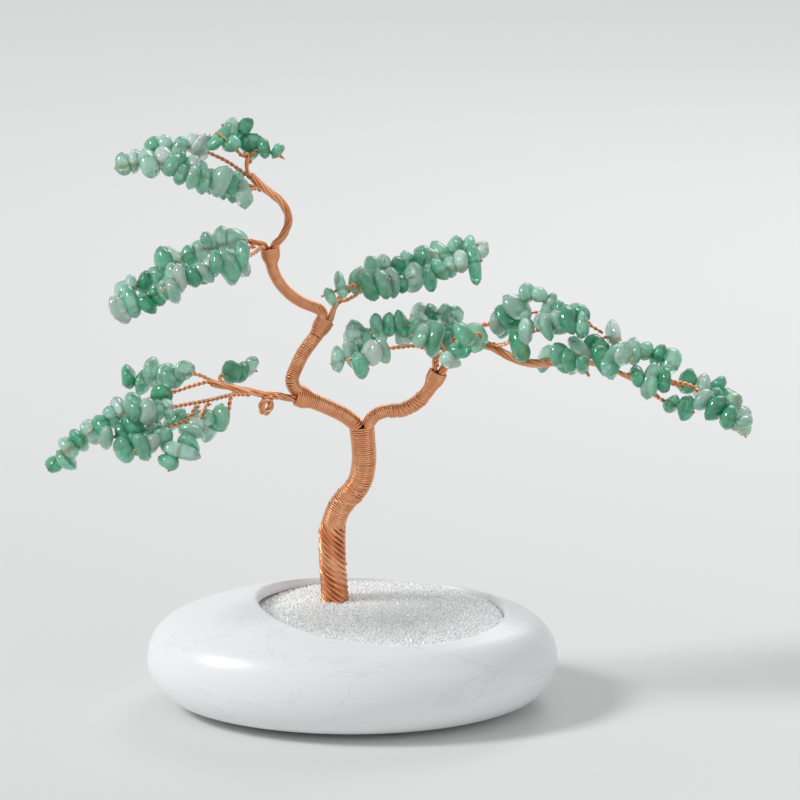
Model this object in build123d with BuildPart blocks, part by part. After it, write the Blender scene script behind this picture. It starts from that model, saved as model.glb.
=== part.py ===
"""Gemstone tree ornament: a copper wire tree strung with green stone chips, planted in a pebble pot.

Millimetres, +Z up.  The origin is the centre of the pot's flat foot.  +X runs along the pot towards
the long branch and +Y runs to the back.  Points of the tree are measured from the planting point,
where the trunk comes out of the gravel.
"""
import math
import os
import random

import numpy as np
from build123d import *

os.makedirs("parts", exist_ok=True)

# Pot: a glazed ceramic pebble, cut open on top
pot_length = 142.0
pot_depth = 104.0
pot_equator = 16.7
pot_rise = 25.2
pot_shoulder = 15.0
pot_tuck = 14.0
pot_tuck_turn = 75.0
foot_length = 88.0
foot_rise = 0.8
foot_inset = 0.6
pot_wall = 4.5
pot_floor = 5.0
opening_length = 85.0
opening_depth = 76.0
opening_shift = 10.0
rim_round = 1.5

# Filling: a plaster plug that holds the roots, and quartz gravel over it
fill_fit = 0.2
plaster_top = 21.0
gravel_crown = 33.3
gravel_radius = 600.0
grain_size = 2.6
grain_count = 60
grain_seat = 0.1
grain_margin = 4.0

# Where the trunk is planted, from the centre of the foot
plant_x = -5.4
plant_y = 12.0
root_depth = 22.0
root_wire = 1.4
root_end_reach = 9.0
root_end_drop = 3.0
root_hole = 11.4
root_end_count = 5

# Wire bundles: bare core diameters, and the wires laid or wound over them, negative turns being left-handed
trunk_core = 6.4
strand_wire = 1.4
strand_count = 12
strand_turns = -1.2
strand_foot = 1.0
strand_top = 30.0
binding_wire = 0.8
binding_pitch = 1.7
binding_seat = 0.08
binding_end = 1.0
binding_most_turns = 24
trunk_binding_start = 34.0
left_binding_start = 6.5
right_binding_start = 10.0
middle_binding_start = 9.0
upper_binding_start = 9.0
left_core = 4.0
right_core = 3.1
middle_core = 3.5
upper_core = 2.8
crown_core = 2.8
low_core = 2.7
mid_core = 2.2
top_core = 2.2
arm_core = 3.0
arm_end_core = 1.8
inner_core = 2.0
spray_core = 1.5
twist_wire = 1.4
thread_wire = 0.8
seat_gap = 0.1
fork_lead = 3.2
twig_lead = 1.6
bend_share = 0.45
trace_step = 0.3
tendril_radius = 2.4
tendril_turns = 1.6
tendril_pitch = 2.6
tendril_wire = 2.0
tendril_place = 14.0

# Stone chips: length, width and thickness of each size, drilled near the middle
chip_sizes = {
    "S": (6.4, 5.6, 3.3),
    "M": (8.2, 6.8, 3.9),
    "L": (10.2, 8.2, 4.5),
    "O": (13.0, 7.4, 4.6),
}
chip_cuts = {"S": 4, "M": 7, "L": 5, "O": 3}
chip_face_share = 0.56
chip_bore = 1.4
chip_gap = 0.25
bore_play = 0.12
bore_shift = 0.16
bore_lean = 9.0
push_step = 0.3
push_limit = 20
turn_count = 18
stop_wire = 1.7
stop_length = 1.0
stop_gap = 0.1
loose_swing = 30.0
swing_steps = 5

plant = Vector(plant_x, plant_y, gravel_crown)
squash = pot_depth / pot_length


def finish(part, name):
    """Name a finished piece and write it."""
    part.label = name
    export_step(part, f"parts/{name}.step")


def gathered(pieces):
    """Separate solids of one kind, kept together in one node."""
    return Compound([solid for piece in pieces for solid in piece.solids()])


def spot(x, y, z):
    """A point of the tree, measured from the planting point."""
    return plant + Vector(x, y, z)


# Pot, built round and then narrowed to its true depth, on a flat foot of bare clay
def pebble_profile(half, rise, shoulder, tuck, foot, base):
    """Half of the pebble's upright section, from the foot over the widest level to the crown."""
    crown_radius = (half**2 + rise**2 - 2 * half * shoulder) / (2 * (rise - shoulder))
    shoulder_centre = Vector(half - shoulder, 0)
    crown_centre = Vector(0, rise - crown_radius)
    meet = shoulder_centre + (shoulder_centre - crown_centre).normalized() * shoulder
    meet = (meet.X, pot_equator + meet.Y)
    top = (0, pot_equator + rise)
    under = JernArc(start=(half, pot_equator), tangent=(0, -1), radius=tuck, arc_size=-pot_tuck_turn)
    TangentArc(under @ 1, (foot, base), tangent=under % 1)
    Polyline((foot, base), (0, base), top)
    TangentArc(top, meet, tangent=(1, 0))
    TangentArc((half, pot_equator), meet, tangent=(0, 1))


def pebble(inset, base):
    """A solid pebble of the pot's shape, drawn in by an even wall and standing on its base level."""
    with BuildPart() as body:
        with BuildSketch(Plane.XZ):
            with BuildLine():
                pebble_profile(
                    pot_length / 2 - inset,
                    pot_rise - inset,
                    pot_shoulder - inset,
                    pot_tuck - inset,
                    foot_length / 2 - inset,
                    base,
                )
            make_face()
        revolve(axis=Axis.Z)
    return body.part


def opening_plug(inset):
    """The oval prism that cuts the opening, before the pot is narrowed."""
    with BuildPart() as plug:
        with BuildSketch(Plane.XY.offset(pot_equator)):
            with Locations((opening_shift, 0)):
                Ellipse(opening_length / 2 - inset, (opening_depth / 2 - inset) / squash)
        extrude(amount=2 * pot_rise)
    return plug.part


with BuildPart() as pot_shell:
    add(pebble(0, foot_rise))
    add(pebble(pot_wall, pot_floor), mode=Mode.SUBTRACT)
    add(opening_plug(0), mode=Mode.SUBTRACT)
    fillet(pot_shell.edges().filter_by(GeomType.BSPLINE), radius=rim_round)
    scale(by=(1, squash, 1))
    with BuildSketch(Plane.XY):
        Ellipse(foot_length / 2 - foot_inset, (foot_length / 2 - foot_inset) * squash)
    extrude(amount=(foot_rise + pot_floor) / 2)
finish(pot_shell.part, "pot_shell")


# Wires: routes of straight runs and tangent arcs
def bend_radii(points):
    """The largest tangent arc that each corner of a route has room for."""
    radii = []
    for before, corner, after in zip(points, points[1:], points[2:]):
        turn = math.radians((corner - before).get_angle(after - corner))
        run = min((corner - before).length, (after - corner).length)
        radii.append(bend_share * run / math.tan(turn / 2))
    return radii


def route_wire(points):
    """The centre line of a bent wire."""
    with BuildLine() as line:
        FilletPolyline(*points, radius=bend_radii(points))
    return line.wire()


def swept(path, diameter):
    """A round bar along a path."""
    with BuildPart() as bar:
        with BuildSketch(Plane(path @ 0, z_dir=path % 0)):
            Circle(diameter / 2)
        sweep(path=path)
    return bar.part


carriers = {}
traces = {}


def point_along(path, distance):
    """A point and a direction on a wire, at a distance from its start."""
    mode = PositionMode.LENGTH
    return path.position_at(distance, position_mode=mode), path.tangent_at(distance, position_mode=mode)


def carry(name, path, diameter, outer):
    """Keep a wire as a carrier of others, and as a thing that chips have to clear."""
    steps = round(path.length / trace_step)
    points = [tuple(path.position_at(i / steps)) for i in range(steps + 1)]
    carriers[name] = (path, diameter)
    traces[name] = (np.array(points), outer / 2)


def square_to(direction, vector):
    """The part of a vector that is square to a direction, at unit length."""
    return (vector - direction * vector.dot(direction)).normalized()


def fork_starts(name, first, second, first_aim, second_aim):
    """First two points of two bundles that stand side by side on the end of a carrier."""
    path, _ = carriers[name]
    end, direction = path @ 1, path % 1
    aside = square_to(direction, second_aim - first_aim)
    width = first + second + seat_gap
    starts = []
    for shift in (first / 2 - width / 2, width / 2 - second / 2):
        start = end + aside * shift
        starts.append([start, start + direction * fork_lead])
    return starts


def end_start(name):
    """First two points of a twig that carries on from the end of its carrier."""
    path, _ = carriers[name]
    return [path @ 1, path @ 1 + (path % 1) * twig_lead]


def side_start(name, share, diameter, aim):
    """First two points of a twig that leaves a carrier along its side."""
    path, carrier = carriers[name]
    base, direction = point_along(path, share * path.length)
    out = square_to(direction, aim - base) * (carrier / 2 + diameter / 2 + seat_gap)
    return [base + out, base + out + direction * twig_lead]


def bundle(name, points, core, bound):
    """Make one bundle of wires, with room round it for a binding where it has one."""
    path = route_wire(points)
    room = 2 * (binding_wire + binding_seat) if bound else 0
    carry(name, path, core, core + room)
    finish(swept(path, core), name)
    return path


trunk_route = [
    spot(0, 0, -root_depth),
    spot(-0.6, 0, 2),
    spot(-1.6, -0.6, 15),
    spot(-1.4, -1.6, 28),
    spot(1.2, -2.2, 35.2),
    spot(8.2, -3.6, 42.8),
    spot(9.8, -4.4, 52),
    spot(9, -5, 61.5),
]
trunk = bundle("trunk_core", trunk_route, trunk_core, True)

left_bend = spot(3, -5.8, 68.2)
right_bend = spot(13.4, -6, 68.6)
left_start, right_start = fork_starts("trunk_core", left_core, right_core, left_bend, right_bend)
left_route = left_start + [left_bend, spot(-4.8, -8, 72.6), spot(-11.2, -10, 75.6)]
left_limb = bundle("left_limb", left_route, left_core, True)
right_route = right_start + [
    right_bend,
    spot(17.6, -7.2, 70.2),
    spot(22.4, -8.6, 70.6),
    spot(27.4, -10.4, 73.4),
    spot(31.6, -12, 78.4),
    spot(33.8, -13, 83),
]
right_limb = bundle("right_limb", right_route, right_core, True)

middle_bend = spot(-15.4, -11, 82)
low_bend = spot(-18.6, -15, 77.4)
middle_start, low_start = fork_starts("left_limb", middle_core, low_core, middle_bend, low_bend)
middle_route = middle_start + [middle_bend, spot(-11.6, -9, 90.6), spot(-6.8, -6.6, 96.4), spot(-4.8, -5.4, 99.6)]
middle_limb = bundle("middle_limb", middle_route, middle_core, True)
low_route = low_start + [low_bend, spot(-25, -19, 79.2), spot(-33, -22, 81.6), spot(-42, -26, 85)]
low_stem = bundle("low_stem", low_route, low_core, False)

upper_bend = spot(-5.2, -4.6, 105.2)
top_bend = spot(-0.8, -4, 105.4)
upper_start, top_start = fork_starts("middle_limb", upper_core, top_core, upper_bend, top_bend)
upper_route = upper_start + [
    upper_bend,
    spot(-13, -5.4, 108.4),
    spot(-18.6, -7, 114),
    spot(-21.6, -9, 120.4),
    spot(-22, -10, 125.6),
]
upper_limb = bundle("upper_limb", upper_route, upper_core, True)
top_route = top_start + [top_bend, spot(1.6, -3, 109.4), spot(5, -2, 112), spot(9, 0, 115)]
top_stem = bundle("top_stem", top_route, top_core, False)

crown_bend = spot(-17.8, -12, 132.4)
mid_bend = spot(-24.4, -12.4, 130)
crown_start, mid_start = fork_starts("upper_limb", crown_core, mid_core, crown_bend, mid_bend)
crown_route = crown_start + [
    crown_bend,
    spot(-15.2, -13, 138.8),
    spot(-17.8, -14, 145),
    spot(-24.4, -16, 150.6),
    spot(-28.4, -17, 154.8),
]
crown_limb = bundle("crown_limb", crown_route, crown_core, False)
mid_route = mid_start + [mid_bend, spot(-28.6, -16, 131.8)]
mid_stem = bundle("mid_stem", mid_route, mid_core, False)

arm_bend = spot(38.2, -15, 90)
inner_bend = spot(33.6, -13.6, 88.6)
arm_start, inner_start = fork_starts("right_limb", arm_core, inner_core, arm_bend, inner_bend)
arm_route = arm_start + [
    arm_bend,
    spot(42.4, -18, 95),
    spot(47.6, -21, 97.8),
    spot(53.2, -24, 97.2),
    spot(59, -27, 94.2),
    spot(66, -30, 92.6),
    spot(74.6, -32, 93.8),
]
arm = bundle("arm", arm_route, arm_core, False)
inner_route = inner_start + [inner_bend, spot(34, -12.6, 91.4)]
inner_stem = bundle("inner_stem", inner_route, inner_core, False)
arm_end_route = end_start("arm") + [
    spot(84, -34, 94.6),
    spot(91.6, -36, 93),
    spot(101, -39, 89.4),
    spot(108, -42, 84.6),
]
arm_end = bundle("arm_end", arm_end_route, arm_end_core, False)
spray_route = end_start("crown_limb") + [spot(-29.8, -17.2, 158.4), spot(-29.4, -17, 161)]
spray_stem = bundle("spray_stem", spray_route, spray_core, False)


# Bindings: wire wound round the bundles, each half turn made of two tangent arcs
def coil_sides(along):
    """Two directions square to a wire, which stay steady as the wire bends."""
    steady = Vector(0, 1, 0) if abs(along.Y) < 0.8 else Vector(0, 0, 1)
    across = square_to(along, steady)
    return across, along.cross(across)


def coil_point(path, span, turns, radius, phase, share):
    """A point of a coil that follows a wire, at a share of its whole winding."""
    centre, along = point_along(path, span[0] + (span[1] - span[0]) * share)
    across, beside = coil_sides(along)
    angle = phase + 2 * math.pi * turns * share
    return centre + across * (radius * math.cos(angle)) + beside * (radius * math.sin(angle))


def coil_path(path, span, turns, radius, phase, wire, knots_per_turn):
    """The centre line of a coil, with a straight run of one wire diameter at each end."""
    steps = math.ceil(knots_per_turn * abs(turns))
    tiny = 1e-4
    knots = []
    for i in range(steps + 1):
        share = i / steps
        here = coil_point(path, span, turns, radius, phase, share)
        before = coil_point(path, span, turns, radius, phase, max(0, share - tiny))
        after = coil_point(path, span, turns, radius, phase, min(1, share + tiny))
        knots.append((here, (after - before).normalized()))
    first, start_way = knots[0]
    last, end_way = knots[-1]
    with BuildLine() as line:
        Line(first - start_way * wire, first)
        for (here, way), (there, next_way) in zip(knots, knots[1:]):
            chord = there - here
            ways = chord.dot(way + next_way)
            bend = 2 * (1 - way.dot(next_way))
            reach = (math.sqrt(ways**2 + bend * chord.dot(chord)) - ways) / bend
            middle = (here + way * reach + there - next_way * reach) * 0.5
            middle_way = (there - next_way * reach) - (here + way * reach)
            TangentArc(here, middle, tangent=way)
            TangentArc(middle, there, tangent=middle_way)
        Line(last, last + end_way * wire)
    return line.wire()


def least_gap(path, turns, wire):
    """The least distance between the wires of neighbouring turns, measured on points."""
    per_turn = 48
    count = round(per_turn * turns)
    points = np.array([tuple(path.position_at(i / count)) for i in range(count + 1)])
    least = math.inf
    for i in range(count - per_turn // 2):
        away = np.linalg.norm(points[i + per_turn // 2 :] - points[i], axis=1)
        least = min(least, away.min())
    return least - wire


def binding(name, path, core, start):
    """One binding wire, wound along a bundle from a distance nearly to its end."""
    end = path.length - binding_end
    turns = min(binding_most_turns, round((end - start) / binding_pitch))
    radius = core / 2 + binding_seat + binding_wire / 2
    coil = coil_path(path, (start, end), turns, radius, 0, binding_wire, 2)
    print(f"{name}: {turns} turns, least gap {least_gap(coil, turns, binding_wire):.2f} mm")
    finish(swept(coil, binding_wire), name)


strand_span = (root_depth + strand_foot, root_depth + strand_top)
strand_radius = trunk_core / 2 + binding_seat + strand_wire / 2
strands = []
for i in range(strand_count):
    phase = 2 * math.pi * i / strand_count
    strand = coil_path(trunk, strand_span, strand_turns, strand_radius, phase, strand_wire, 5)
    strands.append(swept(strand, strand_wire))
finish(gathered(strands), "root_strands")

binding("trunk_binding", trunk, trunk_core, root_depth + trunk_binding_start)
binding("left_binding", left_limb, left_core, left_binding_start)
binding("right_binding", right_limb, right_core, right_binding_start)
binding("middle_binding", middle_limb, middle_core, middle_binding_start)
binding("upper_binding", upper_limb, upper_core, upper_binding_start)


# Stone chips: flat, many-sided pieces with a round bore, which stands upright here
class Chip:
    """One cut of stone: its solid, and the corners and faces that have to clear other pieces."""

    def __init__(self, size, cut):
        length, width, thick = chip_sizes[size]
        dice = random.Random(f"{size}{cut}")
        length *= dice.uniform(0.9, 1.1)
        width *= dice.uniform(0.9, 1.1)
        half = thick * dice.uniform(0.9, 1.1) / 2
        sides = dice.choice((5, 6, 6, 7))
        outline = []
        for i in range(sides):
            angle = 2 * math.pi * (i + dice.uniform(-0.25, 0.25)) / sides
            outline.append(Vector(length / 2 * math.cos(angle), width / 2 * math.sin(angle)))
        lean = math.radians(dice.uniform(0, bore_lean))
        way = dice.uniform(0, 2 * math.pi)
        slant = Vector(math.sin(lean) * math.cos(way), math.sin(lean) * math.sin(way), math.cos(lean))
        aside = Vector(length * bore_shift, width * dice.uniform(-bore_shift, bore_shift), 0)
        flat = Plane(aside - Vector(0, 0, aside.dot(slant) / slant.Z), z_dir=slant)
        self.half = half / math.cos(lean) + stop_wire / 2 * math.tan(lean)
        rings = []
        with BuildPart() as stone:
            for level, share in ((-half, chip_face_share), (0, 1), (half, chip_face_share)):
                ring = [corner * share for corner in outline]
                with BuildSketch(flat.offset(level)):
                    Polygon(*ring, align=None)
                rings.append([tuple(flat.offset(level).from_local_coords(corner)) for corner in ring])
            loft(ruled=True)
            with Locations((0, 0, 0)):
                Hole(radius=chip_bore / 2)
        self.part = stone.part
        self.corners = np.array(rings[0] + rings[1] + rings[2])
        normals = [tuple(flat.z_dir), tuple(-flat.z_dir)]
        low, mid, high = (np.array(ring) for ring in rings)
        for i in range(sides):
            edge = mid[(i + 1) % sides] - mid[i]
            normals.append(np.cross(edge, high[i] - mid[i]))
            normals.append(np.cross(low[i] - mid[i], edge))
        normals = np.array(normals)
        self.normals = normals / np.linalg.norm(normals, axis=1)[:, None]
        self.reach = np.linalg.norm(self.corners - self.corners.mean(axis=0), axis=1).max()


class Placed:
    """A chip threaded on a wire: where it sits, which way its bore points and how far it is turned."""

    def __init__(self, chip, centre, axis):
        self.chip = chip
        self.centre = centre
        self.axis = axis
        steady = np.array((0, 1, 0) if abs(axis[1]) < 0.8 else (0, 0, 1))
        across = steady - axis * steady.dot(axis)
        self.across = across / np.linalg.norm(across)
        self.beside = np.cross(axis, self.across)

    def set_turn(self, turn):
        """Turn the chip round its bore, in degrees."""
        ahead = self.across * math.cos(math.radians(turn)) + self.beside * math.sin(math.radians(turn))
        frame = np.array([ahead, np.cross(self.axis, ahead), self.axis])
        self.turn = turn
        self.ahead = ahead
        self.corners = self.chip.corners @ frame + self.centre
        self.normals = self.chip.normals @ frame
        self.middle = self.corners.mean(axis=0)

    def clears_chip(self, other):
        """True if a face of either chip keeps the two apart."""
        if np.linalg.norm(other.middle - self.middle) > self.chip.reach + other.chip.reach + chip_gap:
            return True
        ways = np.vstack([self.normals, -other.normals])
        gaps = (other.corners @ ways.T).min(axis=0) - (self.corners @ ways.T).max(axis=0)
        return gaps.max() > chip_gap

    def clears_wires(self, own_wire):
        """True if no wire comes too near to the chip, its own wire outside the bore included."""
        for name, (trace, radius) in traces.items():
            if name == own_wire:
                inside = round((self.chip.half + radius + 2 * chip_gap) / trace_step)
                here = np.linalg.norm(trace - self.centre, axis=1).argmin()
                trace = np.vstack([trace[: max(0, here - inside)], trace[here + inside :]])
            near = trace[np.abs(trace - self.middle).max(axis=1) < self.chip.reach + radius + chip_gap]
            if len(near) == 0:
                continue
            levels = (self.corners @ self.normals.T).max(axis=0)
            if ((near @ self.normals.T - levels).max(axis=1) < radius + chip_gap).any():
                return False
        return True

    def clears_all(self, own_wire):
        """True if the chip clears every chip that is already threaded and every other wire."""
        return all(self.clears_chip(other) for other in threaded) and self.clears_wires(own_wire)

    def swing_clears(self, own_wire):
        """True if a loose chip can turn both ways on its wire."""
        rest = self.turn
        clear = True
        for i in range(swing_steps):
            self.set_turn(rest + loose_swing * (2 * i / (swing_steps - 1) - 1))
            clear = clear and self.clears_all(own_wire)
        self.set_turn(rest)
        return clear

    def solid(self):
        """The chip's solid, moved to its place."""
        place = Plane(tuple(self.centre), x_dir=tuple(self.ahead), z_dir=tuple(self.axis))
        return self.chip.part.moved(place.location)


threaded = []
cuts = {size: [Chip(size, cut) for cut in range(count)] for size, count in chip_cuts.items()}


def seat_on_wire(trace, length, distance, half):
    """Centre and direction of a bore on a wire, and how far the wire bows inside it."""
    marks = np.linspace(0, length, len(trace))
    spots = (distance - half, distance, distance + half)
    before, here, after = (np.array([np.interp(d, marks, trace[:, i]) for i in range(3)]) for d in spots)
    chord = (before + after) / 2
    axis = (after - before) / np.linalg.norm(after - before)
    return (chord + here) / 2, axis, np.linalg.norm(here - chord) / 2


def thread_chips(name, bare, sizes, loose):
    """Thread chips on a wire, each turned and pushed along until it clears everything before it."""
    trace, _ = traces[name]
    length = carriers[name][0].length
    dice = random.Random(name)
    placed = []
    distance = bare + chip_gap
    for place, size in enumerate(sizes):
        chip = dice.choice(cuts[size])
        swings = loose and place >= len(sizes) - loose
        found = None
        for push in range(push_limit):
            at = distance + chip.half + push * push_step
            if at + chip.half + chip_gap + stop_gap + stop_length > length:
                break
            centre, axis, bow = seat_on_wire(trace, length, at, chip.half)
            if bow > (chip_bore - thread_wire) / 2 - bore_play:
                continue
            trial = Placed(chip, centre, axis)
            for turn in dice.sample(range(turn_count), turn_count):
                trial.set_turn(360 * turn / turn_count)
                if trial.clears_all(name) and (not swings or trial.swing_clears(name)):
                    found = trial
                    break
            if found:
                break
        if not found:
            print(f"{name}: no room for chip {place + 1} of {len(sizes)}")
            break
        threaded.append(found)
        placed.append(found)
        distance = at + chip.half + chip_gap
    return placed, distance


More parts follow.
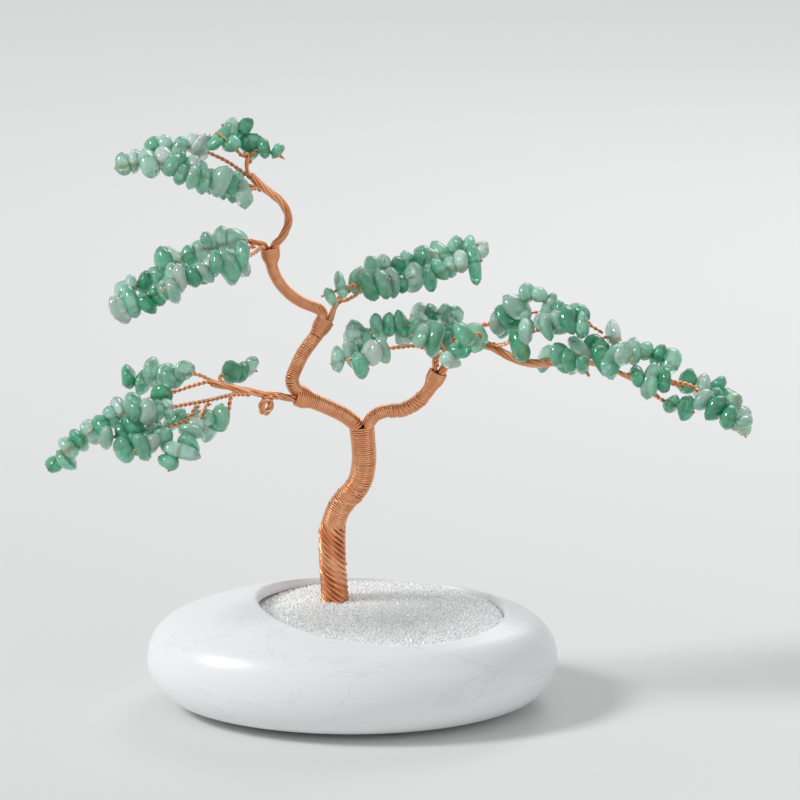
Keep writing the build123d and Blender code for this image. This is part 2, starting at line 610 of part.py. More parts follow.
# Twigs: branch, carrier, share of the carrier's length where it leaves (1 is the end), bare length,
# sizes of the chips in order, node of the chips, and the points that the wire bends through
twig_rows = {
    "crown_main": ("crown", "crown_limb", 0.88, 5, "LMMSLMMLMS", "crown_row_chips", (
        (-32, -20, 152), (-37.5, -21, 153.5), (-44, -22, 156.5), (-51, -22.5, 159.5), (-58.5, -23, 161.5),
        (-66, -24, 161), (-80, -26, 157.5))),
    "crown_front": ("crown", "crown_limb", 0.84, 7, "MMLMMSM", "crown_row_chips", (
        (-31, -24, 151), (-36.5, -28, 153), (-43.5, -30, 157), (-48, -31, 158), (-55, -31, 160.5),
        (-61.5, -31, 161), (-71, -31, 158))),
    "crown_thin": ("crown", "crown_limb", 0.96, 17, "MSMSM", "crown_thin_chips", (
        (-36, -14, 159), (-44, -13, 162.5), (-49, -13, 164), (-55, -13, 164), (-68, -14, 162.5))),
    "crown_left": ("crown", "spray_stem", 1, 7, "SO", "crown_spray_chips", (
        (-31, -18.5, 161.5), (-33.5, -20, 165), (-37.5, -22, 169), (-43, -23, 173.5))),
    "crown_right": ("crown", "spray_stem", 0.7, 2.5, "SL", "crown_spray_chips", (
        (-28, -15.5, 162), (-25.5, -14.5, 163.5), (-22, -14, 162.5), (-15, -14, 159))),
    "crown_top": ("crown", "spray_stem", 0.5, 4, "SSSS", "crown_spray_chips", (
        (-29, -12.5, 161), (-28.5, -11, 164), (-30, -11, 168), (-34, -12, 170.5), (-40, -12, 171.5))),
    "mid_back": ("mid", "mid_stem", 1, 2.4, "MLMMSMLMMSM", "mid_back_chips", (
        (-36, -15.5, 131.5), (-43, -16.5, 130), (-50, -18, 127.5), (-58, -20, 123.5), (-66.5, -22, 118.5),
        (-80, -25, 111))),
    "mid_front": ("mid", "mid_stem", 0.85, 6, "LMSMMLMSMLM", "mid_front_chips", (
        (-33, -23, 128.5), (-41, -25.5, 126), (-49, -27.5, 123), (-57, -29, 118.5), (-65.5, -31, 114),
        (-79, -33.5, 106.5))),
    "mid_under": ("mid", "mid_stem", 0.52, 11, "MLMMSMM", "mid_front_chips", (
        (-27, -21, 129), (-32, -28, 128), (-38.5, -33, 128.5), (-46.5, -35, 125.5), (-55, -37, 121.5),
        (-70, -38.5, 113.5))),
    "low_upper": ("low", "low_stem", 0.92, 10, "SMMLMM", "low_upper_chips", (
        (-46.5, -22, 87), (-53, -18, 86.5), (-59, -15, 84.5), (-66, -13, 83.5), (-80, -11, 77.5))),
    "low_back": ("low", "low_stem", 0.84, 7, "MMS", "low_upper_chips", (
        (-39.5, -19, 85.5), (-35, -14.5, 86), (-30, -11, 85.5), (-22, -7, 83.5))),
    "low_main": ("low", "low_stem", 1, 16, "MLMSMMLMMS", "low_main_chips", (
        (-49.5, -29.5, 84.5), (-57, -32, 82.5), (-64, -34, 81), (-70.5, -35.5, 78), (-77.5, -37, 74.5),
        (-84.5, -39, 70), (-101, -42, 54.5))),
    "low_under": ("low", "low_main", 0.35, 3, "MLMM", "low_main_chips", (
        (-66.5, -41, 77), (-70.5, -43, 73), (-74.5, -44, 70.5), (-79, -45, 69.5), (-89, -46, 66.5))),
    "low_front": ("low", "low_stem", 0.6, 31, "MSMM", "low_front_chips", (
        (-35.5, -27, 81), (-42.5, -32.5, 80.5), (-49.5, -37, 80.5), (-57, -41.5, 80), (-72, -47.5, 79))),
    "low_drop": ("low", "low_front", 0.42, 13, "MMSM", "low_drop_chips", (
        (-49, -38.5, 75.5), (-55.5, -42, 74), (-60.5, -44, 72.5), (-66, -46, 70.5), (-77, -48.5, 66.5))),
    "low_tuft": ("low", "low_drop", 0.4, 3, "MSM", "low_drop_chips", (
        (-58.5, -48, 72), (-62, -51, 70), (-72, -54, 67))),
    "low_fall": ("low", "low_front", 0.34, 9, "SMMLM", "low_drop_chips", (
        (-46, -41, 75.5), (-49.5, -46, 71.5), (-53, -50, 66), (-57.5, -54, 58))),
    "low_hang": ("low", "low_stem", 0.72, 9, "MMSMM", "low_hang_chips", (
        (-35.5, -28, 80.5), (-36, -29, 76.5), (-36.5, -29, 72), (-40.5, -28, 69.5), (-46, -27, 70.5),
        (-58, -25, 74))),
    "low_knot": ("low", "low_hang", 0.3, 3, "MS", "low_hang_chips", (
        (-38, -33.5, 76), (-42, -36, 76), (-50, -38, 75))),
    "top_pair": ("top", "top_stem", 0.45, 17, "LM", None, (
        (3, -8, 109), (8, -11, 112.5), (7, -13, 116.5), (-12, -15, 109.5))),
    "top_back": ("top", "top_stem", 1, 3, "MLMSMMLMMS", "top_back_chips", (
        (15.5, 3.5, 118), (22.5, 5.5, 119.5), (30.5, 8, 120.5), (39, 10, 122), (60, 14, 124.5))),
    "top_front": ("top", "top_stem", 0.8, 6, "MMSLMMSML", "top_front_chips", (
        (14, -4.5, 113.5), (21.5, -3.5, 115), (30, -1.5, 116.5), (39, 0.5, 118.5), (56, 3.5, 122))),
    "top_first": ("top", "top_stem", 0.7, 5, "MMM", "top_front_chips", (
        (6, -6, 115), (9, -10, 115), (14, -11.5, 116.5), (24, -12, 119))),
    "inner_low": ("inner", "inner_stem", 0.9, 24, "MLM", "inner_low_chips", (
        (31.5, -16.5, 94), (27.5, -20, 96.5), (21, -22.5, 96.5), (14, -24.5, 96), (6.5, -26.5, 94.5),
        (-12, -31, 89))),
    "inner_tuft": ("inner", "inner_low", 0.5, 4, "MML", "inner_low_chips", (
        (17.5, -28, 98.5), (13, -32, 97.5), (7, -34.5, 96), (-2, -36, 93.5))),
    "inner_up": ("inner", "inner_stem", 1, 4, "MLMSMML", "inner_up_chips", (
        (33.5, -9, 96), (28, -6.5, 98.5), (21, -5.5, 98.5), (13.5, -6.5, 97.5), (5.5, -7.5, 95.5),
        (-12, -9.5, 90))),
    "inner_mid": ("inner", "inner_stem", 0.55, 8, "MMLMSM", "inner_up_chips", (
        (34.5, -17.5, 96.5), (30.5, -18, 100.5), (24.5, -17, 103), (17.5, -16.5, 102.5), (2, -17, 96))),
    "inner_back": ("inner", "inner_stem", 0.7, 8, "MLMMSMM", "inner_back_chips", (
        (37.5, -6, 91), (42, 2, 94.5), (42.5, 7.5, 98.5), (36.5, 9.5, 100.5), (28, 9, 100), (12, 6.5, 98.5))),
    "inner_front": ("inner", "arm", 0.16, 7, "LM", "inner_front_chips", (
        (37, -20.5, 94.5), (35.5, -24.5, 99.5), (31, -26, 102), (22, -27, 101))),
    "outer_thin": ("outer", "arm", 0.2, 20, "MMLMSM", "outer_thin_chips", (
        (40.5, -15, 98.5), (46, -15, 102), (52, -16, 103), (56.5, -17.5, 104.5), (59.5, -18, 108.5), (63, -19, 113),
        (68.5, -20, 114), (75, -20, 109))),
    "outer_fan": ("outer", "outer_thin", 0.34, 6, "MLMM", "outer_thin_chips", (
        (60, -12, 102), (64, -11, 104.5), (69, -11, 106.5), (72.5, -12, 103.5), (75, -13.5, 94))),
    "outer_low": ("outer", "arm", 0.42, 4, "MLMM", "outer_mid_chips", (
        (48.5, -27, 99.5), (49.5, -31, 103.5), (46, -33, 104), (42, -34, 100.5), (38, -34, 92))),
    "outer_mid": ("outer", "arm", 0.55, 8, "LMMSLM", "outer_mid_chips", (
        (58, -31, 100), (62.5, -33.5, 103.5), (69, -34, 105.5), (76, -33.5, 108), (83, -34.5, 108.5),
        (96, -36.5, 106.5))),
    "outer_up": ("outer", "outer_mid", 0.4, 3, "MML", "outer_mid_chips", (
        (71.5, -27, 107), (75.5, -26.5, 109.5), (81, -27, 108.5), (91, -28, 102.5))),
    "arm_green": ("outer", "arm", 0.93, 5, "MMO", "arm_chips", (
        (76.5, -37.5, 96.5), (80, -41, 97), (84, -43.5, 94), (89, -46, 86))),
    "arm_under": ("outer", "arm", 0.85, 3, "MLM", "arm_chips", (
        (72, -26, 93.5), (76, -24.5, 92.5), (82, -24, 91.5), (94, -25, 89.5))),
    "arm_rise": ("outer", "arm_end", 0.12, 3, "LMM", "arm_chips", (
        (85, -31, 97.5), (88.5, -29, 101), (94, -28, 102), (102, -29, 97))),
    "arm_mid": ("tip", "arm_end", 0.5, 3, "MMSML", "arm_mid_chips", (
        (95.5, -33, 95), (99, -31, 96.5), (105, -31, 97), (110, -32, 95), (120, -34, 88.5))),
    "arm_front": ("tip", "arm_end", 0.35, 3, "MLM", "arm_mid_chips", (
        (91.5, -41, 95.5), (93, -43.5, 98.5), (96, -45, 99.5), (106, -46, 95.5))),
    "arm_low": ("tip", "arm_end", 0.6, 6, "MLM", "arm_mid_chips", (
        (98, -42, 92), (104, -44, 92.5), (118, -47, 90))),
    "tip_pair": ("tip", "arm_end", 1, 3, "LL", None, (
        (112, -43.5, 82.5), (117, -44.5, 81), (126, -46, 77.5))),
    "tip_row": ("tip", "arm_end", 0.9, 16, "MMLMS", "tip_chips", (
        (108.5, -38, 88), (116, -37.5, 88.5), (123, -38.5, 86), (129.5, -40, 82), (135, -41.5, 76.5),
        (144, -44, 60))),
    "tip_top": ("tip", "tip_row", 0.16, 7, "MMMM", "tip_chips", (
        (115.5, -34, 85.5), (120, -31, 86), (125.5, -30, 86), (129.5, -31, 83), (133, -32, 71.5))),
    "tip_side": ("tip", "tip_row", 0.32, 3, "MLMM", "tip_chips", (
        (123.5, -45, 84.5), (127.5, -48, 81), (132.5, -49.5, 78.5), (143, -51, 69))),
}
loose_names = {
    "crown_left": ("crown_oval_chip",),
    "crown_right": ("crown_square_chip",),
    "top_pair": ("pair_near_chip", "pair_far_chip"),
    "arm_green": ("long_green_chip",),
    "tip_pair": ("tip_near_chip", "tip_far_chip"),
}
for name, (_, carrier, share, _, _, _, points) in twig_rows.items():
    bends = [spot(*point) for point in points]
    start = end_start(carrier) if share == 1 else side_start(carrier, share, twist_wire, bends[0])
    carry(name, route_wire(start + bends), twist_wire, twist_wire)


def twig_wire(path, bare, end):
    """A twig: a twisted pair up to its chips, a single thread through them, and a crimp that stops them."""
    marks = (0, bare, end, end + stop_length)
    sizes = (twist_wire, thread_wire, stop_wire)
    return [
        swept(path.trim(start / path.length, stop / path.length), size)
        for start, stop, size in zip(marks, marks[1:], sizes)
    ]


branch_wires = {}
chip_groups = {}
for name, (branch, _, _, bare, sizes, node, _) in twig_rows.items():
    loose = loose_names.get(name, ())
    placed, reach = thread_chips(name, bare, sizes, len(loose))
    fixed = placed[: len(placed) - len(loose)]
    if fixed:
        chip_groups.setdefault(node, []).extend(chip.solid() for chip in fixed)
    for chip, chip_name in zip(placed[len(fixed) :], loose):
        print(f"{chip_name}: bore at {chip.centre.round(4)}, along {chip.axis.round(6)}")
        finish(chip.solid(), chip_name)
    path, _ = carriers[name]
    branch_wires.setdefault(branch, []).extend(twig_wire(path, bare, reach + stop_gap))
for node, chips in chip_groups.items():
    finish(gathered(chips), node)
for branch, wires in branch_wires.items():
    finish(gathered(wires), f"{branch}_twigs")
print(len(threaded), "chips")


# Tendril: a wire curl that hangs from the low stem
stem_point, stem_way = point_along(low_stem, tendril_place)
hang = square_to(stem_way, Vector(0, 0, -1))
curl_centre = stem_point + hang * (low_core / 2 + seat_gap + tendril_wire / 2 + tendril_radius)
curl_way = stem_way.cross(hang)
with BuildLine() as curl_axis:
    Line(curl_centre, curl_centre + curl_way * (tendril_pitch * tendril_turns))
curl_span = (0, tendril_pitch * tendril_turns)
across, beside = coil_sides(curl_way)
top_phase = math.atan2(-hang.dot(beside), -hang.dot(across))
curl = coil_path(curl_axis.wire(), curl_span, tendril_turns, tendril_radius, top_phase, tendril_wire, 4)
print(f"tendril: least gap {least_gap(curl, tendril_turns, tendril_wire):.2f} mm")
finish(swept(curl, tendril_wire), "tendril")

# Root ends: wires splayed out of the foot of the trunk, which key it into the plaster
root_foot = Plane(trunk @ 0, z_dir=trunk % 0)
root_ends = []
for i in range(root_end_count):
    angle = 2 * math.pi * i / root_end_count
    out = root_foot.x_dir * math.cos(angle) + root_foot.y_dir * math.sin(angle)
    start = root_foot.origin + out * (trunk_core / 2 - root_wire)
    knee = start - root_foot.z_dir * root_end_drop
    root_ends.append(swept(route_wire([start, knee, knee + out * root_end_reach]), root_wire))
finish(gathered(root_ends), "root_ends")


# Filling, cut to the inside of the pot and round what is planted in it
with BuildPart() as plaster_plug:
    add(pebble(pot_wall + fill_fit, pot_floor + fill_fit))
    split(bisect_by=Plane.XY.offset(plaster_top), keep=Keep.BOTTOM)
    scale(by=(1, squash, 1))
    add(swept(trunk, trunk_core), mode=Mode.SUBTRACT)
    add(root_ends, mode=Mode.SUBTRACT)
finish(plaster_plug.part, "plaster_plug")

with BuildPart() as gravel_bed:
    add(pebble(pot_wall + fill_fit, pot_floor + fill_fit))
    add(opening_plug(fill_fit))
    split(bisect_by=Plane.XY.offset(plaster_top), keep=Keep.TOP)
    with Locations((plant_x, plant_y / squash, gravel_crown - gravel_radius)):
        Sphere(gravel_radius, mode=Mode.INTERSECT)
    scale(by=(1, squash, 1))
    with Locations((plant_x, plant_y, gravel_crown)):
        Cylinder(root_hole / 2, 2 * root_depth, mode=Mode.SUBTRACT)
finish(gravel_bed.part, "gravel_bed")


def gravel_level(x, y):
    """Height of the gravel bed at a place."""
    return gravel_crown - gravel_radius + math.sqrt(
        gravel_radius**2 - (x - plant_x) ** 2 - ((y - plant_y) / squash) ** 2
    )


def grain(number):
    """One loose quartz grain, a small block of uneven slant that lies on the bed."""
    dice = random.Random(number)
    share = math.sqrt((number + 0.5) / grain_count)
    angle = number * math.pi * (3 - math.sqrt(5))
    x = opening_shift + share * math.cos(angle) * (opening_length / 2 - grain_margin)
    y = share * math.sin(angle) * (opening_depth / 2 - grain_margin)
    if math.hypot(x - plant_x, y - plant_y) < root_hole / 2 + grain_margin / 2:
        return None
    size = grain_size * dice.uniform(0.7, 1.2)
    level = gravel_level(x, y)
    upright = (x - plant_x, (y - plant_y) / squash**2, level - gravel_crown + gravel_radius)
    bed = Plane((x, y, level), z_dir=upright).offset(grain_seat)
    with BuildPart() as block:
        with BuildSketch(bed):
            Rectangle(size, size * dice.uniform(0.7, 1), rotation=dice.uniform(0, 180))
        extrude(amount=size * dice.uniform(0.5, 0.8), taper=dice.uniform(8, 18))
    return block.part


grains = [grain(number) for number in range(grain_count)]
finish(gathered([block for block in grains if block]), "top_grains")
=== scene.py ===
# %% [markdown]
# # A copper wire tree with stone leaves
# The ornament is a small tree twisted and wound from copper wire. Drilled green stone chips are threaded
# on its twigs, and it is planted in quartz grit in a white pebble-shaped pot. The solids come from the
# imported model, in metres, and this lesson dresses them: wire by wire, stone by stone, grain by grain.

# %% Load the solids
import math
import random

import bmesh
import bpy
import numpy as np
from mathutils import Matrix, Vector
from mathutils.kdtree import KDTree


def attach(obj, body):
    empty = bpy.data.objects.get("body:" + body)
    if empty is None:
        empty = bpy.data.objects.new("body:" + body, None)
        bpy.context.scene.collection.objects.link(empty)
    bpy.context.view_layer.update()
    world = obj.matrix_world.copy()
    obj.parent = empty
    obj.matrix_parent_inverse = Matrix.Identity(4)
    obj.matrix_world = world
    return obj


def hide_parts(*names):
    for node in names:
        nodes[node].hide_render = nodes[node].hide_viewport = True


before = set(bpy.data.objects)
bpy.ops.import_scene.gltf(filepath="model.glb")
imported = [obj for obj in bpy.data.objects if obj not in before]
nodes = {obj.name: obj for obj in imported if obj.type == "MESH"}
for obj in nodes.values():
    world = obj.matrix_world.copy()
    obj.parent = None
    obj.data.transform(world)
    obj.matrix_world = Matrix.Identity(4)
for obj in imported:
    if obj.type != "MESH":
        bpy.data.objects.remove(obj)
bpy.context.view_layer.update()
mm = 0.001
scene = bpy.context.scene

# %% [markdown]
# ## Camera
# The picture looks at the tree from the front and a little above, about 15 degrees, with a long lens that
# hardly bends parallel lines. A camera far away with a long focal length gives that, and it is set first,
# because every later choice is compared through it.

# %% Camera
aim = Vector((16.5, 0, 108.5)) * mm
camera_rise = math.radians(15)
camera_distance = 1.8
lens_data = bpy.data.cameras.new("photo_camera")
lens_data.sensor_width = 36
lens_data.lens = 237.1
lens_data.clip_end = 50
camera = bpy.data.objects.new("photo_camera", lens_data)
camera.location = aim + Vector((0, -math.cos(camera_rise), math.sin(camera_rise))) * camera_distance
camera.rotation_euler = (aim - camera.location).to_track_quat("-Z", "Y").to_euler()
scene.collection.objects.link(camera)
scene.camera = camera
print("camera at", [round(v, 3) for v in camera.location])

# %% [markdown]
# ## Small helpers
# Colours are written as sRGB hex values, as a colour picker shows them, but shaders work in linear light,
# so one function converts them. Another adds a node to any tree, with its settings and its links, so that a
# tree reads as a short list, and the ones after it add the nodes that come up most often. The last four make
# an object, paint it, turn what its modifiers make into a plain mesh, and start a Geometry Nodes tree.


# %% Helpers for colours and nodes
def colour(code):
    """An sRGB hex value as linear red, green, blue and alpha."""
    parts = [int(code[i : i + 2], 16) / 255 for i in (1, 3, 5)]
    return (*[p / 12.92 if p <= 0.04045 else ((p + 0.055) / 1.055) ** 2.4 for p in parts], 1)


def add(tree, kind, inputs=None, **settings):
    """Add a node: settings are its properties, inputs are values or sockets to link from."""
    node = tree.nodes.new(kind)
    for key, value in settings.items():
        setattr(node, key, value)
    for key, value in (inputs or {}).items():
        if isinstance(value, bpy.types.NodeSocket):
            tree.links.new(value, node.inputs[key])
        else:
            node.inputs[key].default_value = value
    return node


def maths(tree, operation, *values, **settings):
    """A sum, a product or the like of numbers or sockets."""
    return add(tree, "ShaderNodeMath", dict(enumerate(values)), operation=operation, **settings).outputs[0]


def to_range(tree, value, low, high, start=0.0, stop=1.0):
    """A value taken from one range to another."""
    inputs = {"Value": value, "From Min": start, "From Max": stop, "To Min": low, "To Max": high}
    return add(tree, "ShaderNodeMapRange", inputs).outputs[0]


def noise_of(tree, place, size, detail, **more):
    """A noise at a place, with features of about the given size in millimetres."""
    inputs = {"Vector": place, "Scale": 1 / (size * mm), "Detail": detail, **more}
    return add(tree, "ShaderNodeTexNoise", inputs).outputs[0]


def ramp(tree, value, stops):
    """A colour ramp from (place, hex) pairs."""
    node = add(tree, "ShaderNodeValToRGB", {"Fac": value})
    elements = node.color_ramp.elements
    while len(elements) < len(stops):
        elements.new(0.5)
    for element, (place, code) in zip(elements, stops):
        element.position = place
        element.color = colour(code)
    return node.outputs["Color"]


def blend(tree, share, first, second):
    """A mix of two colours."""
    return add(tree, "ShaderNodeMix", {0: share, 6: first, 7: second}, data_type="RGBA").outputs[2]


def new_material(name):
    """An empty material and its node tree."""
    material = bpy.data.materials.new(name)
    material.use_nodes = True
    material.node_tree.nodes.clear()
    return material, material.node_tree


def surface(tree, inputs):
    """End the tree of a material with one surface."""
    skin = add(tree, "ShaderNodeBsdfPrincipled", inputs)
    add(tree, "ShaderNodeOutputMaterial", {"Surface": skin.outputs[0]})


print("a mid green in linear light:", [round(v, 3) for v in colour("#98E0C2")])


# %% Helpers for objects
def new_object(name, data):
    """An object in the scene."""
    made = bpy.data.objects.new(name, data)
    scene.collection.objects.link(made)
    return made


def paint(shape, material):
    """Give an object one material."""
    shape.data.materials.clear()
    shape.data.materials.append(material)


def plain_mesh(host):
    """The mesh that an object's modifiers make. The object itself is removed."""
    bpy.context.view_layer.update()
    graph = bpy.context.evaluated_depsgraph_get()
    mesh = bpy.data.meshes.new_from_object(host.evaluated_get(graph), depsgraph=graph)
    bpy.data.objects.remove(host)
    return mesh


def new_group(name, sockets, result):
    """An empty Geometry Nodes tree, the keys of its inputs, and their sockets inside."""
    group = bpy.data.node_groups.new(name, "GeometryNodeTree")
    keys = {}
    for label, kind in sockets.items():
        socket = group.interface.new_socket(label, in_out="INPUT", socket_type="NodeSocket" + kind)
        keys[label] = socket.identifier
    group.interface.new_socket(result, in_out="OUTPUT", socket_type="NodeSocketGeometry")
    return group, keys, add(group, "NodeGroupInput").outputs


# %% [markdown]
# ## Floor and light
# A studio table top is a plain pale sheet, and large soft lamps keep the shadows gentle. The main lamp
# stands to the left, as the highlights on the trunk and the pot show. A pale world fills the rest, so a
# colour renders about as it is written.

# %% Floor and light
floor_material, tree = new_material("matt_white_board")
fibres = add(tree, "ShaderNodeTexNoise", {"Scale": 1 / (60 * mm), "Detail": 2}).outputs[0]
tone = ramp(tree, fibres, [(0.3, "#E4E4E3"), (0.7, "#E9E9E8")])
surface(tree, {"Base Color": tone, "Roughness": 0.85})
bpy.ops.mesh.primitive_plane_add(size=30, location=(0, 0, -0.05 * mm))
floor = bpy.context.object
floor.name = "studio_floor"
paint(floor, floor_material)

world = bpy.data.worlds.new("pale_studio")
world.use_nodes = True
tree = world.node_tree
tree.nodes.clear()
sky = add(tree, "ShaderNodeBackground", {"Color": colour("#EEF0F2"), "Strength": 0.5})
paper = add(tree, "ShaderNodeBackground", {"Color": colour("#E6E7E8"), "Strength": 0.95})
ray = add(tree, "ShaderNodeLightPath").outputs
shiny = maths(tree, "MAXIMUM", ray["Is Glossy Ray"], ray["Is Transmission Ray"])
seen = maths(tree, "MAXIMUM", ray["Is Camera Ray"], shiny)
both = add(tree, "ShaderNodeMixShader", {0: seen, 1: sky.outputs[0], 2: paper.outputs[0]})
add(tree, "ShaderNodeOutputWorld", {"Surface": both.outputs[0]})
scene.world = world
# kind, place, size in metres (an angle for the sun), power
lamps = {
    "key_lamp": ("SUN", (-1.0, -0.25, 1.0), math.radians(15), 1.7),
    "fill_lamp": ("AREA", (0.9, -0.9, 0.6), 0.7, 1.6),
    "rim_lamp": ("AREA", (0.3, 0.8, 0.8), 0.5, 2.2),
}
for name, (kind, place, size, power) in lamps.items():
    lamp_data = bpy.data.lights.new(name, kind)
    if kind == "SUN":
        lamp_data.angle = size
    else:
        lamp_data.size = size
    lamp_data.energy = power
    lamp = new_object(name, lamp_data)
    lamp.location = place
    lamp.rotation_euler = (aim - lamp.location).to_track_quat("-Z", "Y").to_euler()
scene.view_settings.view_transform = "Standard"
print(len(lamps), "lamps")

# %% [markdown]
# ## Bare copper wire
# Drawn copper wire has a bright, slightly streaked skin and a warm orange-pink colour. Each strand of a
# bundle has tarnished a little differently. The wire pieces below carry a number for their strand, and the
# material turns it into a small change of tone, with fine draw marks as roughness.

# %% Copper
copper, tree = new_material("drawn_copper")
strand = add(tree, "ShaderNodeAttribute", attribute_name="strand").outputs["Fac"]
place = add(tree, "ShaderNodeTexCoord").outputs["Object"]
tarnish = noise_of(tree, place, size=4, detail=3)
mixed = maths(tree, "MULTIPLY", maths(tree, "ADD", strand, tarnish), 0.5)
tones = [(0.2, "#C4754A"), (0.5, "#D98E62"), (0.8, "#EDB48C")]
tone = ramp(tree, mixed, tones)
rough = to_range(tree, noise_of(tree, place, size=0.5, detail=2), 0.22, 0.42)
surface(tree, {"Base Color": tone, "Metallic": 1.0, "Roughness": rough})
print("copper tones:", [code for _, code in tones])

# %% [markdown]
# ## Green aventurine
# The chips are tumbled and polished green quartz: glassy, cloudy inside, from pale mint to leaf green, and
# here and there stained by iron. Light goes in and comes out again, so the shader mixes subsurface
# scattering with transmission. A number at each corner picks a place on the colour ramp, a cloud noise of
# about 3 mm moves it about inside the stone, and a wider noise puts in the few stains.

# %% Green stone
stone, tree = new_material("polished_green_aventurine")
# the tint at each corner also carries painted light: thin corners are tinted lighter, as if lit through
tint = add(tree, "ShaderNodeAttribute", attribute_name="tint").outputs["Fac"]
place = add(tree, "ShaderNodeTexCoord").outputs["Object"]
clouds = noise_of(tree, place, size=3, detail=4, Roughness=0.6)
where = maths(tree, "ADD", tint, to_range(tree, clouds, -0.3, 0.3), use_clamp=True)
stops = [(0, "#EAF8F2"), (0.25, "#C8F0E0"), (0.5, "#98E0C2"), (0.75, "#66C9A1"), (1, "#38A576")]
tone = ramp(tree, where, stops)
iron = to_range(tree, noise_of(tree, place, size=9, detail=1), 0.0, 0.7, start=0.68, stop=0.8)
dull = to_range(tree, noise_of(tree, place, size=0.7, detail=2), 0.06, 0.2)
polish = {
    "Base Color": blend(tree, iron, tone, colour("#B3AD78")),
    "Roughness": dull,
    "IOR": 1.54,
    "Transmission Weight": 0.55,
    "Subsurface Weight": 0.6,
    "Subsurface Radius": (1.0, 1.3, 1.1),
    "Subsurface Scale": 1.5 * mm,
    "Coat Weight": 0.3,
    "Coat Roughness": 0.05,
}
surface(tree, polish)
print("stone tones:", [code for _, code in stops])

# %% [markdown]
# ## Satin glaze
# The pot is slip-cast stoneware with a white satin glaze that lets a faint grey marbling through. The flat
# foot is left unglazed, so a thin beige line of bare clay shows where it meets the table. The veins are a
# stretched noise cut to a narrow band, and the bare clay is chosen by height.

# %% Pot glaze
glaze, tree = new_material("white_satin_glaze")
place = add(tree, "ShaderNodeTexCoord").outputs["Object"]
drawn = add(tree, "ShaderNodeMapping", {"Vector": place, "Scale": (1, 1.4, 2.6)}).outputs[0]
veins = noise_of(tree, drawn, size=55, detail=5, Roughness=0.55, Distortion=0.8)
stops = [(0.0, "#EFF0F1"), (0.488, "#F0F1F2"), (0.5, "#E9EAED"), (0.512, "#F0F1F2"), (1.0, "#EEEFF0")]
tone = ramp(tree, veins, stops)
height = add(tree, "ShaderNodeSeparateXYZ", {0: place}).outputs["Z"]
bare = to_range(tree, height, 1.0, 0.0, start=0.9 * mm, stop=1.4 * mm)
clay = blend(tree, bare, tone, colour("#C9C2A8"))
sheen = to_range(tree, bare, 0.3, 0.8)
dips = noise_of(tree, place, size=9, detail=2)
ripple = add(tree, "ShaderNodeBump", {"Height": dips, "Strength": 0.05, "Distance": 0.3 * mm}).outputs[0]
surface(tree, {"Base Color": clay, "Roughness": sheen, "IOR": 1.5, "Normal": ripple})
paint(nodes["pot_shell"], glaze)

# %% [markdown]
# ## The lines that the wires follow
# The tree is a set of bent wires, and each bend is a round arc that takes a fixed share of the shorter run
# beside it. The same points that shape the solids are repeated here, in millimetres from the planting
# point, and the arcs are worked out from them, so that every strand lies on its solid.

# %% Bent lines
plant = np.array((-5.4, 12.0, 33.3))
bend_share = 0.45
root_depth = 22.0
seat_gap = 0.1
pair_width = 1.4
straight = 0.01
arc_points = 9


def unit(vector):
    """A direction of length one."""
    return vector / np.linalg.norm(vector)


def bent_line(points):
    """Points along a wire: straight runs, and an arc at each corner."""
    points = [np.array(p, float) for p in points]
    line = [points[0]]
    for before, corner, after in zip(points, points[1:], points[2:]):
        way_in, way_out = unit(corner - before), unit(after - corner)
        turn = math.acos(np.clip(way_in @ way_out, -1, 1))
        reach = bend_share * min(np.linalg.norm(corner - before), np.linalg.norm(after - corner))
        if turn < straight:
            line.append(corner)
            continue
        radius = reach / math.tan(turn / 2)
        inward = unit(way_out - way_in * (way_in @ way_out))
        for step in np.linspace(0, turn, arc_points):
            onward = way_in * (radius * math.sin(step) - reach)
            line.append(corner + onward + inward * radius * (1 - math.cos(step)))
    line.append(points[-1])
    return np.array(line)


def marks_of(line):
    """Distances of a line's points from its start."""
    return np.concatenate([[0], np.cumsum(np.linalg.norm(np.diff(line, axis=0), axis=1))])


def at(line, distance):
    """A point and a direction on a line."""
    marks = marks_of(line)
    i = min(np.searchsorted(marks, distance, side="right"), len(line) - 1)
    way = unit(line[i] - line[i - 1])
    return line[i - 1] + way * (distance - marks[i - 1]), way


def part_of(line, start, stop):
    """The stretch of a line between two distances."""
    marks = marks_of(line)
    inside = line[(marks > start) & (marks < stop)]
    return np.vstack([at(line, start)[0], inside, at(line, stop)[0]])


def beside(way, vector):
    """The part of a vector that is square to a direction."""
    return unit(vector - way * (way @ vector))


# %% Lines of the limbs
lines = {}
widths = {}
